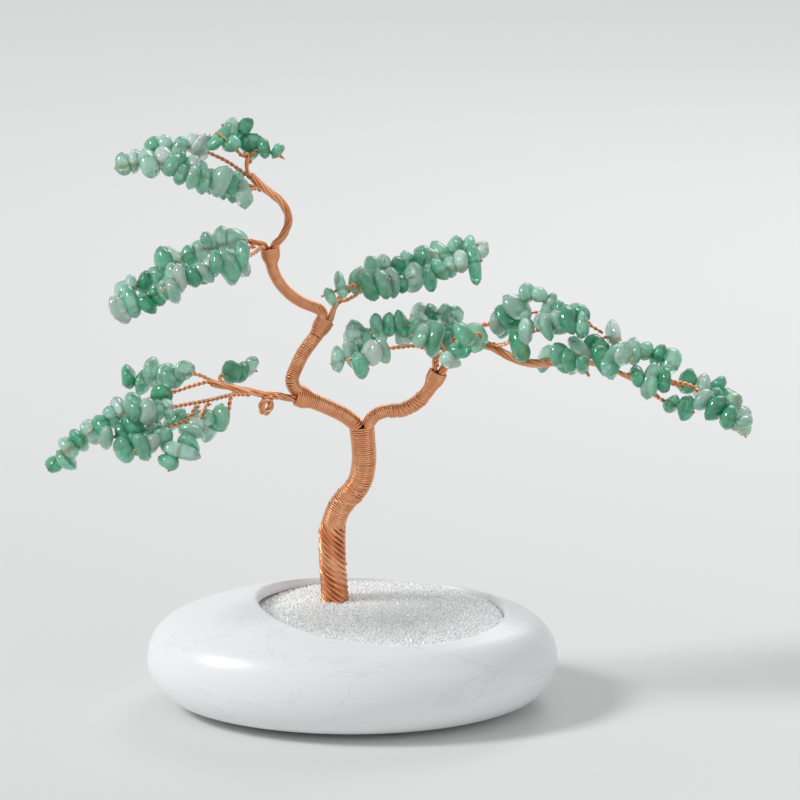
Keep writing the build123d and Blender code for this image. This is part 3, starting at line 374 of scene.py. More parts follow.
# core width, the bundle that carries it and its twin at the fork, and the bends
limb_points = {
    "trunk_core": (6.4, None, (
        (0, 0, -22), (-0.6, 0, 2), (-1.6, -0.6, 15), (-1.4, -1.6, 28), (1.2, -2.2, 35.2), (8.2, -3.6, 42.8),
        (9.8, -4.4, 52), (9, -5, 61.5))),
    "left_limb": (4.0, ("trunk_core", "right_limb"), ((3, -5.8, 68.2), (-4.8, -8, 72.6), (-11.2, -10, 75.6))),
    "right_limb": (3.1, ("trunk_core", "left_limb"), (
        (13.4, -6, 68.6), (17.6, -7.2, 70.2), (22.4, -8.6, 70.6), (27.4, -10.4, 73.4), (31.6, -12, 78.4),
        (33.8, -13, 83))),
    "middle_limb": (3.5, ("left_limb", "low_stem"), (
        (-15.4, -11, 82), (-11.6, -9, 90.6), (-6.8, -6.6, 96.4), (-4.8, -5.4, 99.6))),
    "low_stem": (2.7, ("left_limb", "middle_limb"), (
        (-18.6, -15, 77.4), (-25, -19, 79.2), (-33, -22, 81.6), (-42, -26, 85))),
    "upper_limb": (2.8, ("middle_limb", "top_stem"), (
        (-5.2, -4.6, 105.2), (-13, -5.4, 108.4), (-18.6, -7, 114), (-21.6, -9, 120.4), (-22, -10, 125.6))),
    "top_stem": (2.2, ("middle_limb", "upper_limb"), (
        (-0.8, -4, 105.4), (1.6, -3, 109.4), (5, -2, 112), (9, 0, 115))),
    "crown_limb": (2.8, ("upper_limb", "mid_stem"), (
        (-17.8, -12, 132.4), (-15.2, -13, 138.8), (-17.8, -14, 145), (-24.4, -16, 150.6),
        (-28.4, -17, 154.8))),
    "mid_stem": (2.2, ("upper_limb", "crown_limb"), ((-24.4, -12.4, 130), (-28.6, -16, 131.8))),
    "arm": (3.0, ("right_limb", "inner_stem"), (
        (38.2, -15, 90), (42.4, -18, 95), (47.6, -21, 97.8), (53.2, -24, 97.2), (59, -27, 94.2),
        (66, -30, 92.6), (74.6, -32, 93.8))),
    "inner_stem": (2.0, ("right_limb", "arm"), ((33.6, -13.6, 88.6), (34, -12.6, 91.4))),
    "arm_end": (1.8, ("arm", None), ((84, -34, 94.6), (91.6, -36, 93), (101, -39, 89.4), (108, -42, 84.6))),
    "spray_stem": (1.5, ("crown_limb", None), ((-29.8, -17.2, 158.4), (-29.4, -17, 161))),
}
fork_lead = 3.2
twig_lead = 1.6
for name, (width, stem, points) in limb_points.items():
    points = [plant + np.array(p, float) for p in points]
    if stem:
        carrier, twin = stem
        foot, way = lines[carrier][-1], unit(lines[carrier][-1] - lines[carrier][-2])
        if twin:
            twin_width, _, twin_points = limb_points[twin]
            aside = beside(way, plant + np.array(twin_points[0], float) - points[0])
            start = foot - aside * (twin_width + seat_gap) / 2
            points = [start, start + way * fork_lead] + points
        else:
            points = [foot, foot + way * twig_lead] + points
    lines[name] = bent_line(points)
    widths[name] = width
print(len(lines), "limbs, the trunk is", round(float(marks_of(lines["trunk_core"])[-1]), 1), "mm long")

# %% [markdown]
# ## One tool for every bundle of wires
# Ropes, windings and twisted pairs are all the same thing: strands that run round a line at a fixed
# distance, one turn in each pitch. A Geometry Nodes tree does it for any line. It copies the line once per
# strand, pushes each point out along the line's normal, turned by an angle that grows along the line, and
# sweeps a small circle along it. A negative pitch winds left-handed. A noise moves the strands in and out
# (wobble) and along the line (slip), because they were wound by hand, and at the end of the line the
# strands can dive under what covers them.

# %% Wire lay as a node tree
shake_size = 3
dive_run = 6 * mm
sockets = {"Line": "Geometry", "Strands": "Int", "Pitch": "Float", "Lay Radius": "Float",
           "Wire Radius": "Float", "Wobble": "Float", "Slip": "Float", "Dive": "Float", "Step": "Float",
           "Sides": "Int", "Seed": "Float", "Finish": "Material"}
lay, lay_inputs, given = new_group("wire_lay", sockets, "Wires")
fine = add(lay, "GeometryNodeResampleCurve", {"Curve": given["Line"], "Length": given["Step"]}, mode="LENGTH")
copies = add(
    lay,
    "GeometryNodeDuplicateElements",
    {"Geometry": fine.outputs[0], "Amount": given["Strands"]},
    domain="SPLINE",
)
number = copies.outputs["Duplicate Index"]
along = add(lay, "GeometryNodeSplineParameter").outputs["Length"]
turned = maths(lay, "DIVIDE", along, given["Pitch"])
shared = maths(lay, "DIVIDE", number, given["Strands"])
angle = maths(lay, "MULTIPLY", maths(lay, "ADD", turned, shared), math.tau)
ahead = add(lay, "GeometryNodeInputTangent").outputs[0]
sideways = add(lay, "GeometryNodeInputNormal").outputs[0]
out = add(
    lay,
    "ShaderNodeVectorRotate",
    {"Vector": sideways, "Axis": ahead, "Angle": angle},
    rotation_type="AXIS_ANGLE",
)
own_seed = maths(lay, "MULTIPLY_ADD", number, given["Seed"], given["Seed"])
here = add(lay, "GeometryNodeInputPosition").outputs[0]
shake = add(
    lay,
    "ShaderNodeTexNoise",
    {"Vector": here, "W": own_seed, "Scale": 1 / (shake_size * mm), "Detail": 1},
    noise_dimensions="4D",
)
half = (0.5, 0.5, 0.5)
centred = add(lay, "ShaderNodeVectorMath", {0: shake.outputs["Color"], 1: half}, operation="SUBTRACT")
noises = add(lay, "ShaderNodeSeparateXYZ", {0: centred.outputs[0]}).outputs
whole = add(lay, "GeometryNodeSplineLength").outputs["Length"]
sunk = to_range(lay, maths(lay, "SUBTRACT", whole, along), given["Dive"], 0.0, stop=dive_run)
base = maths(lay, "SUBTRACT", given["Lay Radius"], sunk)
far = maths(lay, "MULTIPLY_ADD", noises["X"], given["Wobble"], base)
push = add(lay, "ShaderNodeVectorMath", {0: out.outputs[0], "Scale": far}, operation="SCALE")
slid = maths(lay, "MULTIPLY", noises["Y"], given["Slip"])
slide = add(lay, "ShaderNodeVectorMath", {0: ahead, "Scale": slid}, operation="SCALE")
shift = add(lay, "ShaderNodeVectorMath", {0: push.outputs[0], 1: slide.outputs[0]})
placed = add(lay, "GeometryNodeSetPosition", {"Geometry": copies.outputs[0], "Offset": shift.outputs[0]})
chance = add(lay, "FunctionNodeRandomValue", {"ID": number}, data_type="FLOAT")
named = add(
    lay,
    "GeometryNodeStoreNamedAttribute",
    {"Geometry": placed.outputs[0], "Name": "strand", "Value": chance.outputs[1]},
    data_type="FLOAT",
    domain="POINT",
)
ring = add(
    lay,
    "GeometryNodeCurvePrimitiveCircle",
    {"Resolution": given["Sides"], "Radius": given["Wire Radius"]},
)
tube = add(
    lay,
    "GeometryNodeCurveToMesh",
    {"Curve": named.outputs[0], "Profile Curve": ring.outputs[0], "Fill Caps": True},
)
smooth = add(lay, "GeometryNodeSetShadeSmooth", {"Geometry": tube.outputs[0], "Shade Smooth": True})
real = add(lay, "GeometryNodeRealizeInstances", {"Geometry": smooth.outputs[0]})
finished = add(lay, "GeometryNodeSetMaterial", {"Geometry": real.outputs[0], "Material": given["Finish"]})
add(lay, "NodeGroupOutput", {"Wires": finished.outputs[0]})
print("wire lay of", len(lay.nodes), "nodes")

# %% Laying wires along a line
longest_step = 1.0


def lay_wires(name, stretches, strands, pitch, lay_radius, wire_radius, wobble=0.0, slip=0.0, dive=0.0,
              sides=8, per_turn=16, seed=1.0):
    """Strands laid along stretches of line, as a plain mesh object. Sizes are in millimetres."""
    curve = bpy.data.curves.new(name, "CURVE")
    curve.dimensions = "3D"
    for stretch in stretches:
        spline = curve.splines.new("POLY")
        spline.points.add(len(stretch) - 1)
        for point, place in zip(spline.points, stretch):
            point.co = (*(place * mm), 1)
    host = new_object(name, curve)
    modifier = host.modifiers.new("lay", "NODES")
    modifier.node_group = lay
    values = {"Strands": strands, "Pitch": pitch * mm, "Lay Radius": lay_radius * mm,
              "Wire Radius": wire_radius * mm, "Wobble": wobble * mm, "Slip": slip * mm, "Dive": dive * mm,
              "Step": min(abs(pitch) / per_turn, longest_step) * mm, "Sides": sides, "Seed": seed,
              "Finish": copper}
    for key, value in values.items():
        modifier[lay_inputs[key]] = value
    piece = new_object(name, plain_mesh(host))
    print(name, len(piece.data.polygons), "faces")
    return piece


# %% [markdown]
# ## Trunk and limbs
# The foot of the trunk is a rope of steep strands, laid left-handed and rather loose. Above it, a fine wire
# is wound close round the bundle up to the fork, turn against turn, and the strands of the rope dive under
# it. The four limbs are wound with the same wire. A few turns cross the others on the trunk and in the
# middle of the right limb, where the wire was led back. The solid cores stay inside the windings.

# %% Rope and windings
trunk = lines["trunk_core"]
rope_top = root_depth + 32
# start, strands, pitch, lay radius, wire radius, wobble, dive, seed
rope_layers = {
    "trunk_rope": (root_depth - 2, 12, -24.0, 3.95, 0.72, 0.9, 1.1, 3.1),
    "trunk_loose_strands": (root_depth - 1, 9, -19.0, 4.3, 0.46, 1.5, 1.3, 5.7),
}
ropes = []
for name, (start, strands, pitch, lay_radius, wire, wobble, dive, seed) in rope_layers.items():
    stretch = part_of(trunk, start, rope_top)
    ropes.append(lay_wires(name, [stretch], strands, pitch, lay_radius, wire, wobble, dive=dive, seed=seed))
wrap_below = 4.0
fine_wire = 0.4
# solid that it replaces, start, pitch, lay radius, wobble, slip
windings = {
    "trunk_core": ("trunk_binding", root_depth + 28, 0.72, 3.84, 0.3, 1.1),
    "left_limb": ("left_binding", 2.6, 0.7, 2.35, 0.2, 0.8),
    "right_limb": ("right_binding", 2.6, 0.7, 1.95, 0.35, 1.0),
    "middle_limb": ("middle_binding", 2.0, 0.68, 2.08, 0.2, 0.8),
    "upper_limb": ("upper_binding", 2.0, 0.66, 1.66, 0.2, 0.8),
}
wound = []
for limb, (binding, start, pitch, lay_radius, wobble, slip) in windings.items():
    stretch = part_of(lines[limb], start, marks_of(lines[limb])[-1] - wrap_below)
    name = limb + "_winding"
    winding = lay_wires(name, [stretch], 1, pitch, lay_radius, fine_wire, wobble, slip, per_turn=14)
    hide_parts(binding)
    wound.append(winding)
crossing_wobble, crossing_slip = 0.5, 2.2
# limb, start, stop, strands, pitch, lay radius
crossings = {
    "trunk_crossing": ("trunk_core", root_depth + 33, root_depth + 46, 3, 15.0, 4.0),
    "right_crossing": ("right_limb", 13.0, 27.0, 2, 2.6, 2.2),
}
for name, (limb, start, stop, strands, pitch, lay_radius) in crossings.items():
    stretch = part_of(lines[limb], start, stop)
    loose = {"wobble": crossing_wobble, "slip": crossing_slip, "seed": 8.3}
    wound.append(lay_wires(name, [stretch], strands, pitch, lay_radius, fine_wire, **loose))
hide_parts("root_strands")
for piece in ropes + wound:
    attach(piece, "tree")
for name in [*windings, "root_ends"]:
    paint(nodes[name], copper)
print(len(ropes), "ropes and", len(wound), "windings")

# %% [markdown]
# ## Bare bundles
# The thin stems aren't wound. Their wires lie side by side and turn only slowly, about once in 26 mm. The
# size of a wire follows from the number that fill the width of the solid.

# %% Bare bundles
bundle_pitch = 26.0
bundle_wobble = 0.12
snugness = 1.08
strand_counts = {"low_stem": 3, "top_stem": 4, "crown_limb": 6, "mid_stem": 5, "arm": 6, "inner_stem": 4,
                 "arm_end": 4, "spray_stem": 4}
for limb, strands in strand_counts.items():
    radius = widths[limb] / 2
    wire = radius / (1 + 1 / math.sin(math.pi / strands)) * snugness
    bundle = lay_wires(
        limb + "_wires", [lines[limb]], strands, bundle_pitch, radius - wire, wire, bundle_wobble, per_turn=40
    )
    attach(bundle, "tree")
    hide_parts(limb)
print(len(strand_counts), "bare bundles")

# %% [markdown]
# ## Wraps at the forks
# Where a bundle divides, the binding goes on over the feet of both limbs and holds them together until they
# part. It starts as a round coil and widens to an oval. The oval is worked out turn by turn from the widths
# of the two limbs, and the wire tool then sweeps one wire along it.

# %% Fork wraps
wrap_above = 2.8
wrap_pitch = 0.7
wrap_widened = 0.62
wrap_points = 20
# a single wire on its own line has no lay, so its pitch only sets the length of a step
plain_pitch = 4.0
# the bundle that divides, and its two limbs
forks = {
    "trunk_core": ("left_limb", "right_limb"),
    "left_limb": ("middle_limb", "low_stem"),
    "middle_limb": ("upper_limb", "top_stem"),
    "upper_limb": ("crown_limb", "mid_stem"),
    "right_limb": ("arm", "inner_stem"),
}
for carrier, (first, second) in forks.items():
    line = lines[carrier]
    length = marks_of(line)[-1]
    top, way = line[-1], unit(line[-1] - line[-2])
    aside = unit(lines[second][0] - lines[first][0])
    other = np.cross(way, aside)
    round_reach = windings[carrier][3]
    wide = (widths[first] + widths[second] + seat_gap) / 2 + fine_wire
    deep = max(widths[first], widths[second]) / 2 + fine_wire
    turns = (wrap_below + wrap_above) / wrap_pitch
    path = []
    for step in np.linspace(0, 1, round(turns * wrap_points)):
        distance = -wrap_below + step * (wrap_below + wrap_above)
        ease = min(1, step / wrap_widened)
        ease = ease * ease * (3 - 2 * ease)
        narrow = max(0, distance / wrap_above)
        heart = at(line, length + distance)[0] if distance < 0 else top + way * distance
        angle = math.tau * turns * step
        half_width = round_reach + (wide - round_reach) * ease
        half_depth = round_reach + (deep - round_reach) * narrow
        path.append(heart + aside * (half_width * math.cos(angle)) + other * (half_depth * math.sin(angle)))
    wrap = lay_wires(carrier + "_fork_wrap", [np.array(path)], 1, plain_pitch, 0.0, fine_wire, per_turn=12)
    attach(wrap, "tree")
print(len(forks), "fork wraps")

# %% [markdown]
# ## Twigs
# Each twig is a pair of wires twisted together. At its first chip the pair is drawn tight and goes through
# the bores, and behind the last chip it ends in a small crimp. The points are those of the solids. The end
# of each wire is read from its solid: it is the last place along the line that the solid still reaches.

# %% Twig lines
# branch, carrier, share of the carrier's length where it leaves (1 is the end), bare length, bends
twig_rows = {
    "crown_main": ("crown", "crown_limb", 0.88, 5, (
        (-32, -20, 152), (-37.5, -21, 153.5), (-44, -22, 156.5), (-51, -22.5, 159.5), (-58.5, -23, 161.5),
        (-66, -24, 161), (-80, -26, 157.5))),
    "crown_front": ("crown", "crown_limb", 0.84, 7, (
        (-31, -24, 151), (-36.5, -28, 153), (-43.5, -30, 157), (-48, -31, 158), (-55, -31, 160.5),
        (-61.5, -31, 161), (-71, -31, 158))),
    "crown_thin": ("crown", "crown_limb", 0.96, 17, (
        (-36, -14, 159), (-44, -13, 162.5), (-49, -13, 164), (-55, -13, 164), (-68, -14, 162.5))),
    "crown_left": ("crown", "spray_stem", 1, 7, (
        (-31, -18.5, 161.5), (-33.5, -20, 165), (-37.5, -22, 169), (-43, -23, 173.5))),
    "crown_right": ("crown", "spray_stem", 0.7, 2.5, (
        (-28, -15.5, 162), (-25.5, -14.5, 163.5), (-22, -14, 162.5), (-15, -14, 159))),
    "crown_top": ("crown", "spray_stem", 0.5, 4, (
        (-29, -12.5, 161), (-28.5, -11, 164), (-30, -11, 168), (-34, -12, 170.5), (-40, -12, 171.5))),
    "mid_back": ("mid", "mid_stem", 1, 2.4, (
        (-36, -15.5, 131.5), (-43, -16.5, 130), (-50, -18, 127.5), (-58, -20, 123.5), (-66.5, -22, 118.5),
        (-80, -25, 111))),
    "mid_front": ("mid", "mid_stem", 0.85, 6, (
        (-33, -23, 128.5), (-41, -25.5, 126), (-49, -27.5, 123), (-57, -29, 118.5), (-65.5, -31, 114),
        (-79, -33.5, 106.5))),
    "mid_under": ("mid", "mid_stem", 0.52, 11, (
        (-27, -21, 129), (-32, -28, 128), (-38.5, -33, 128.5), (-46.5, -35, 125.5), (-55, -37, 121.5),
        (-70, -38.5, 113.5))),
    "low_upper": ("low", "low_stem", 0.92, 10, (
        (-46.5, -22, 87), (-53, -18, 86.5), (-59, -15, 84.5), (-66, -13, 83.5), (-80, -11, 77.5))),
    "low_back": ("low", "low_stem", 0.84, 7, (
        (-39.5, -19, 85.5), (-35, -14.5, 86), (-30, -11, 85.5), (-22, -7, 83.5))),
    "low_main": ("low", "low_stem", 1, 16, (
        (-49.5, -29.5, 84.5), (-57, -32, 82.5), (-64, -34, 81), (-70.5, -35.5, 78), (-77.5, -37, 74.5),
        (-84.5, -39, 70), (-101, -42, 54.5))),
    "low_under": ("low", "low_main", 0.35, 3, (
        (-66.5, -41, 77), (-70.5, -43, 73), (-74.5, -44, 70.5), (-79, -45, 69.5), (-89, -46, 66.5))),
    "low_front": ("low", "low_stem", 0.6, 31, (
        (-35.5, -27, 81), (-42.5, -32.5, 80.5), (-49.5, -37, 80.5), (-57, -41.5, 80), (-72, -47.5, 79))),
    "low_drop": ("low", "low_front", 0.42, 13, (
        (-49, -38.5, 75.5), (-55.5, -42, 74), (-60.5, -44, 72.5), (-66, -46, 70.5), (-77, -48.5, 66.5))),
    "low_tuft": ("low", "low_drop", 0.4, 3, (
        (-58.5, -48, 72), (-62, -51, 70), (-72, -54, 67))),
    "low_fall": ("low", "low_front", 0.34, 9, (
        (-46, -41, 75.5), (-49.5, -46, 71.5), (-53, -50, 66), (-57.5, -54, 58))),
    "low_hang": ("low", "low_stem", 0.72, 9, (
        (-35.5, -28, 80.5), (-36, -29, 76.5), (-36.5, -29, 72), (-40.5, -28, 69.5), (-46, -27, 70.5),
        (-58, -25, 74))),
    "low_knot": ("low", "low_hang", 0.3, 3, (
        (-38, -33.5, 76), (-42, -36, 76), (-50, -38, 75))),
    "top_pair": ("top", "top_stem", 0.45, 17, (
        (3, -8, 109), (8, -11, 112.5), (7, -13, 116.5), (-12, -15, 109.5))),
    "top_back": ("top", "top_stem", 1, 3, (
        (15.5, 3.5, 118), (22.5, 5.5, 119.5), (30.5, 8, 120.5), (39, 10, 122), (60, 14, 124.5))),
    "top_front": ("top", "top_stem", 0.8, 6, (
        (14, -4.5, 113.5), (21.5, -3.5, 115), (30, -1.5, 116.5), (39, 0.5, 118.5), (56, 3.5, 122))),
    "top_first": ("top", "top_stem", 0.7, 5, (
        (6, -6, 115), (9, -10, 115), (14, -11.5, 116.5), (24, -12, 119))),
    "inner_low": ("inner", "inner_stem", 0.9, 24, (
        (31.5, -16.5, 94), (27.5, -20, 96.5), (21, -22.5, 96.5), (14, -24.5, 96), (6.5, -26.5, 94.5),
        (-12, -31, 89))),
    "inner_tuft": ("inner", "inner_low", 0.5, 4, (
        (17.5, -28, 98.5), (13, -32, 97.5), (7, -34.5, 96), (-2, -36, 93.5))),
    "inner_up": ("inner", "inner_stem", 1, 4, (
        (33.5, -9, 96), (28, -6.5, 98.5), (21, -5.5, 98.5), (13.5, -6.5, 97.5), (5.5, -7.5, 95.5),
        (-12, -9.5, 90))),
    "inner_mid": ("inner", "inner_stem", 0.55, 8, (
        (34.5, -17.5, 96.5), (30.5, -18, 100.5), (24.5, -17, 103), (17.5, -16.5, 102.5), (2, -17, 96))),
    "inner_back": ("inner", "inner_stem", 0.7, 8, (
        (37.5, -6, 91), (42, 2, 94.5), (42.5, 7.5, 98.5), (36.5, 9.5, 100.5), (28, 9, 100), (12, 6.5, 98.5))),
    "inner_front": ("inner", "arm", 0.16, 7, (
        (37, -20.5, 94.5), (35.5, -24.5, 99.5), (31, -26, 102), (22, -27, 101))),
    "outer_thin": ("outer", "arm", 0.2, 20, (
        (40.5, -15, 98.5), (46, -15, 102), (52, -16, 103), (56.5, -17.5, 104.5), (59.5, -18, 108.5),
        (63, -19, 113), (68.5, -20, 114), (75, -20, 109))),
    "outer_fan": ("outer", "outer_thin", 0.34, 6, (
        (60, -12, 102), (64, -11, 104.5), (69, -11, 106.5), (72.5, -12, 103.5), (75, -13.5, 94))),
    "outer_low": ("outer", "arm", 0.42, 4, (
        (48.5, -27, 99.5), (49.5, -31, 103.5), (46, -33, 104), (42, -34, 100.5), (38, -34, 92))),
    "outer_mid": ("outer", "arm", 0.55, 8, (
        (58, -31, 100), (62.5, -33.5, 103.5), (69, -34, 105.5), (76, -33.5, 108), (83, -34.5, 108.5),
        (96, -36.5, 106.5))),
    "outer_up": ("outer", "outer_mid", 0.4, 3, (
        (71.5, -27, 107), (75.5, -26.5, 109.5), (81, -27, 108.5), (91, -28, 102.5))),
    "arm_green": ("outer", "arm", 0.93, 5, (
        (76.5, -37.5, 96.5), (80, -41, 97), (84, -43.5, 94), (89, -46, 86))),
    "arm_under": ("outer", "arm", 0.85, 3, (
        (72, -26, 93.5), (76, -24.5, 92.5), (82, -24, 91.5), (94, -25, 89.5))),
    "arm_rise": ("outer", "arm_end", 0.12, 3, (
        (85, -31, 97.5), (88.5, -29, 101), (94, -28, 102), (102, -29, 97))),
    "arm_mid": ("tip", "arm_end", 0.5, 3, (
        (95.5, -33, 95), (99, -31, 96.5), (105, -31, 97), (110, -32, 95), (120, -34, 88.5))),
    "arm_front": ("tip", "arm_end", 0.35, 3, (
        (91.5, -41, 95.5), (93, -43.5, 98.5), (96, -45, 99.5), (106, -46, 95.5))),
    "arm_low": ("tip", "arm_end", 0.6, 6, (
        (98, -42, 92), (104, -44, 92.5), (118, -47, 90))),
    "tip_pair": ("tip", "arm_end", 1, 3, (
        (112, -43.5, 82.5), (117, -44.5, 81), (126, -46, 77.5))),
    "tip_row": ("tip", "arm_end", 0.9, 16, (
        (108.5, -38, 88), (116, -37.5, 88.5), (123, -38.5, 86), (129.5, -40, 82), (135, -41.5, 76.5),
        (144, -44, 60))),
    "tip_top": ("tip", "tip_row", 0.16, 7, (
        (115.5, -34, 85.5), (120, -31, 86), (125.5, -30, 86), (129.5, -31, 83), (133, -32, 71.5))),
    "tip_side": ("tip", "tip_row", 0.32, 3, (
        (123.5, -45, 84.5), (127.5, -48, 81), (132.5, -49.5, 78.5), (143, -51, 69))),
}
branches = {}
for name, (branch, carrier, share, bare_length, points) in twig_rows.items():
    bends = [plant + np.array(p, float) for p in points]
    if share == 1:
        foot, way = lines[carrier][-1], unit(lines[carrier][-1] - lines[carrier][-2])
    else:
        foot, way = at(lines[carrier], share * marks_of(lines[carrier])[-1])
        foot = foot + beside(way, bends[0] - foot) * (widths[carrier] / 2 + pair_width / 2 + seat_gap)
    lines[name] = bent_line([foot, foot + way * twig_lead] + bends)
    widths[name] = pair_width
    branches.setdefault(branch, []).append((name, bare_length))
print(len(twig_rows), "twigs on", len(branches), "branches")

# %% Twisted pairs
crimp_length = 1.0
crimp_width = 1.7
crimp_shown = 0.9
pair_pitch = 3.6
pair_lay, pair_wire, pair_wobble = 0.37, 0.38, 0.05
thread_wire = 0.3
probe_step, probe_slack = 0.2, 0.1


def solid_corners(name):
    """Corners of a solid as it lies in the scene, in metres."""
    shape = nodes[name]
    return [shape.matrix_world @ corner.co for corner in shape.data.vertices]


def end_of(line, near):
    """The last distance along a line at which a solid still has corners beside it."""
    last = 0
    for distance in np.arange(0, marks_of(line)[-1], probe_step):
        if near.find(at(line, distance)[0] * mm)[2] < (crimp_width / 2 + probe_slack) * mm:
            last = distance
    return last


def joined(name, pieces):
    """Several objects as one."""
    with bpy.context.temp_override(active_object=pieces[0], selected_editable_objects=pieces):
        bpy.ops.object.join()
    pieces[0].name = name
    return pieces[0]


for branch, twigs in branches.items():
    corners = solid_corners(branch + "_twigs")
    near = KDTree(len(corners))
    for i, corner in enumerate(corners):
        near.insert(corner, i)
    near.balance()
    loose, threaded, crimps = [], [], []
    for name, bare_length in twigs:
        line = lines[name]
        end = end_of(line, near)
        loose.append(part_of(line, 0, bare_length))
        threaded.append(part_of(line, bare_length, end - crimp_length))
        crimps.append(part_of(line, end - crimp_length, end - crimp_length / 2))
    pieces = [
        lay_wires(
            branch + "_pairs", loose, 2, pair_pitch, pair_lay, pair_wire, pair_wobble, sides=7, per_turn=14
        ),
        lay_wires(
            branch + "_threads", threaded, 2, pair_pitch, thread_wire, thread_wire, sides=6, per_turn=10
        ),
        lay_wires(branch + "_crimps", crimps, 1, pair_pitch, 0.0, crimp_shown / 2, sides=10, per_turn=8),
    ]
    twig = joined(branch + "_twisted_twigs", pieces)
    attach(twig, "tree")
    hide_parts(branch + "_twigs")
print("twisted pairs on", list(branches))

# %% [markdown]
# ## The curl under the low stem
# A bundle of wire is led along the low stem, rolled into one small loop under it and led on. From the front
# the loop comes out before the stem and goes back behind it, so its line is an oval that moves in depth,
# with a short run along the stem at each end.

# %% Tendril
curl_place, curl_lead = 14.0, 6.0
curl_reach = (2.05, 2.6)
curl_drop = 3.7
curl_depth = 1.2
curl_strands, curl_pitch, curl_lay, curl_wire, curl_wobble = 3, 9.0, 0.62, 0.6, 0.08
lead_steps, loop_steps = 12, 48
stem = lines["low_stem"]
stem_point, stem_way = at(stem, curl_place)
hang = beside(stem_way, np.array((0, 0, -1.0)))
front = np.cross(hang, stem_way)
front = front * math.copysign(1, -front[1])
coil = []
for share in np.linspace(0, 0.96, lead_steps):
    sag = hang * (curl_drop - curl_reach[1]) + front * curl_depth
    coil.append(at(stem, curl_place - curl_lead * (1 - share))[0] + sag * share * share)
for turn in np.linspace(0, math.tau, loop_steps):
    oval = stem_way * curl_reach[0] * math.sin(turn) - hang * curl_reach[1] * math.cos(turn)
    coil.append(stem_point + hang * curl_drop + oval + front * curl_depth * (1 - 2 * turn / math.tau))
for share in np.linspace(0.04, 1, lead_steps):
    sag = hang * (curl_drop - curl_reach[1]) - front * curl_depth
    coil.append(at(stem, curl_place + curl_lead * share)[0] + sag * (1 - share) ** 2)
curl = lay_wires(
    "tendril_curl", [np.array(coil)], curl_strands, curl_pitch, curl_lay, curl_wire, curl_wobble, sides=10
)
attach(curl, "tree")
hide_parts("tendril")

# %% [markdown]
# ## Stone chips
# The chips are crushed, drilled and then tumbled for days, so every corner is worn round. The solids have
# the right sizes and places, with flat facets and an open bore. Each one is closed over its bore as a
# convex hull. It is stretched, tilted and hung a little off its wire, because real chips are drilled askew,
# and its corners are moved so that no two look alike. One level of subdivision with part-sharp edges wears
# it down, which also shrinks it, so the hull starts larger. The seven free chips stay smaller than the
# rest, because they need room to turn. The wire hides where the bore was. Thin corners get a lighter tint, a
# painted light that stands in for light shining through clear stone.

# %% Shapes of the chips
wear = 0.22
growth = 1.6
free_growth = 1.14
flatness = 0.86
tilt = math.radians(32)
stretch_range = (0.82, 1.24)
corner_range = (0.84, 1.14)
corner_lift = 0.12
edge_range = (0.3, 1.4)
hang_off = 1.1 * mm
# how much lighter the thin outer corners are painted, in place of light shining through the stone
through_light_pale = 0.16
tint_spread, corner_tint = 0.04, 0.1
greens = (0.2, 0.3, 0.38, 0.44, 0.5, 0.55, 0.6, 0.66, 0.72, 0.82, 0.95)
dice = random.Random(7)


def islands(mesh):
    """Corner positions of each separate solid in a mesh."""
    work = bmesh.new()
    work.from_mesh(mesh)
    bmesh.ops.remove_doubles(work, verts=work.verts, dist=0.001 * mm)
    reached = set()
    found = []
    for first in work.verts:
        wave = [] if first in reached else [first]
        reached.add(first)
        island = []
        while wave:
            corner = wave.pop()
            island.append(corner.co.copy())
            for edge in corner.link_edges:
                other = edge.other_vert(corner)
                if other not in reached:
                    reached.add(other)
                    wave.append(other)
        if island:
            found.append(island)
    work.free()
    return found


def closed_hull(island):
    """The convex hull of some corners, with its flat faces whole."""
    hull_work = bmesh.new()
    for corner in island:
        hull_work.verts.new(corner)
    hull = bmesh.ops.convex_hull(hull_work, input=hull_work.verts)
    spare = set(hull["geom_interior"]) | set(hull["geom_unused"])
    bmesh.ops.delete(hull_work, geom=[v for v in hull_work.verts if v in spare], context="VERTS")
    flat = math.radians(3)
    bmesh.ops.dissolve_limit(hull_work, angle_limit=flat, verts=hull_work.verts, edges=hull_work.edges)
    return hull_work


def add_stone(work, tints, island, size):
    """Add one chip, closed, stretched, tilted and hung off its wire."""
    hull = closed_hull(island)
    heart = sum((v.co for v in hull.verts), Vector()) / len(hull.verts)
    spread = np.array([v.co - heart for v in hull.verts])
    thin = Vector(np.linalg.svd(spread)[2][2])
    broad = (Matrix.Rotation(dice.uniform(0, math.tau), 3, thin) @ thin.orthogonal()).normalized()
    lean = Matrix.Rotation(dice.uniform(-tilt, tilt), 3, broad)
    place = heart + broad * dice.uniform(-hang_off, hang_off)
    stretch = dice.uniform(*stretch_range)
    tint = dice.choice(greens) + dice.uniform(-tint_spread, tint_spread)
    longest = max(np.linalg.norm(spread, axis=1))
    copies = {}
    for corner in hull.verts:
        reach = corner.co - heart
        # painted light: the thin outer corners are tinted lighter, as if light shone through the clear stone
        painted_through_light = through_light_pale * (reach.length / longest) ** 2
        wider, flatter = reach.dot(broad) * (stretch - 1), reach.dot(thin) * (flatness - 1)
        reach = reach + broad * wider + thin * flatter
        reach = reach + thin * dice.uniform(-corner_lift, corner_lift) * longest
        copy = work.verts.new(place + lean @ reach * size * dice.uniform(*corner_range))
        copy[tints] = tint - painted_through_light + dice.uniform(-corner_tint, corner_tint)
        copies[corner] = copy
    for face in hull.faces:
        work.faces.new([copies[corner] for corner in face.verts])
    hull.free()


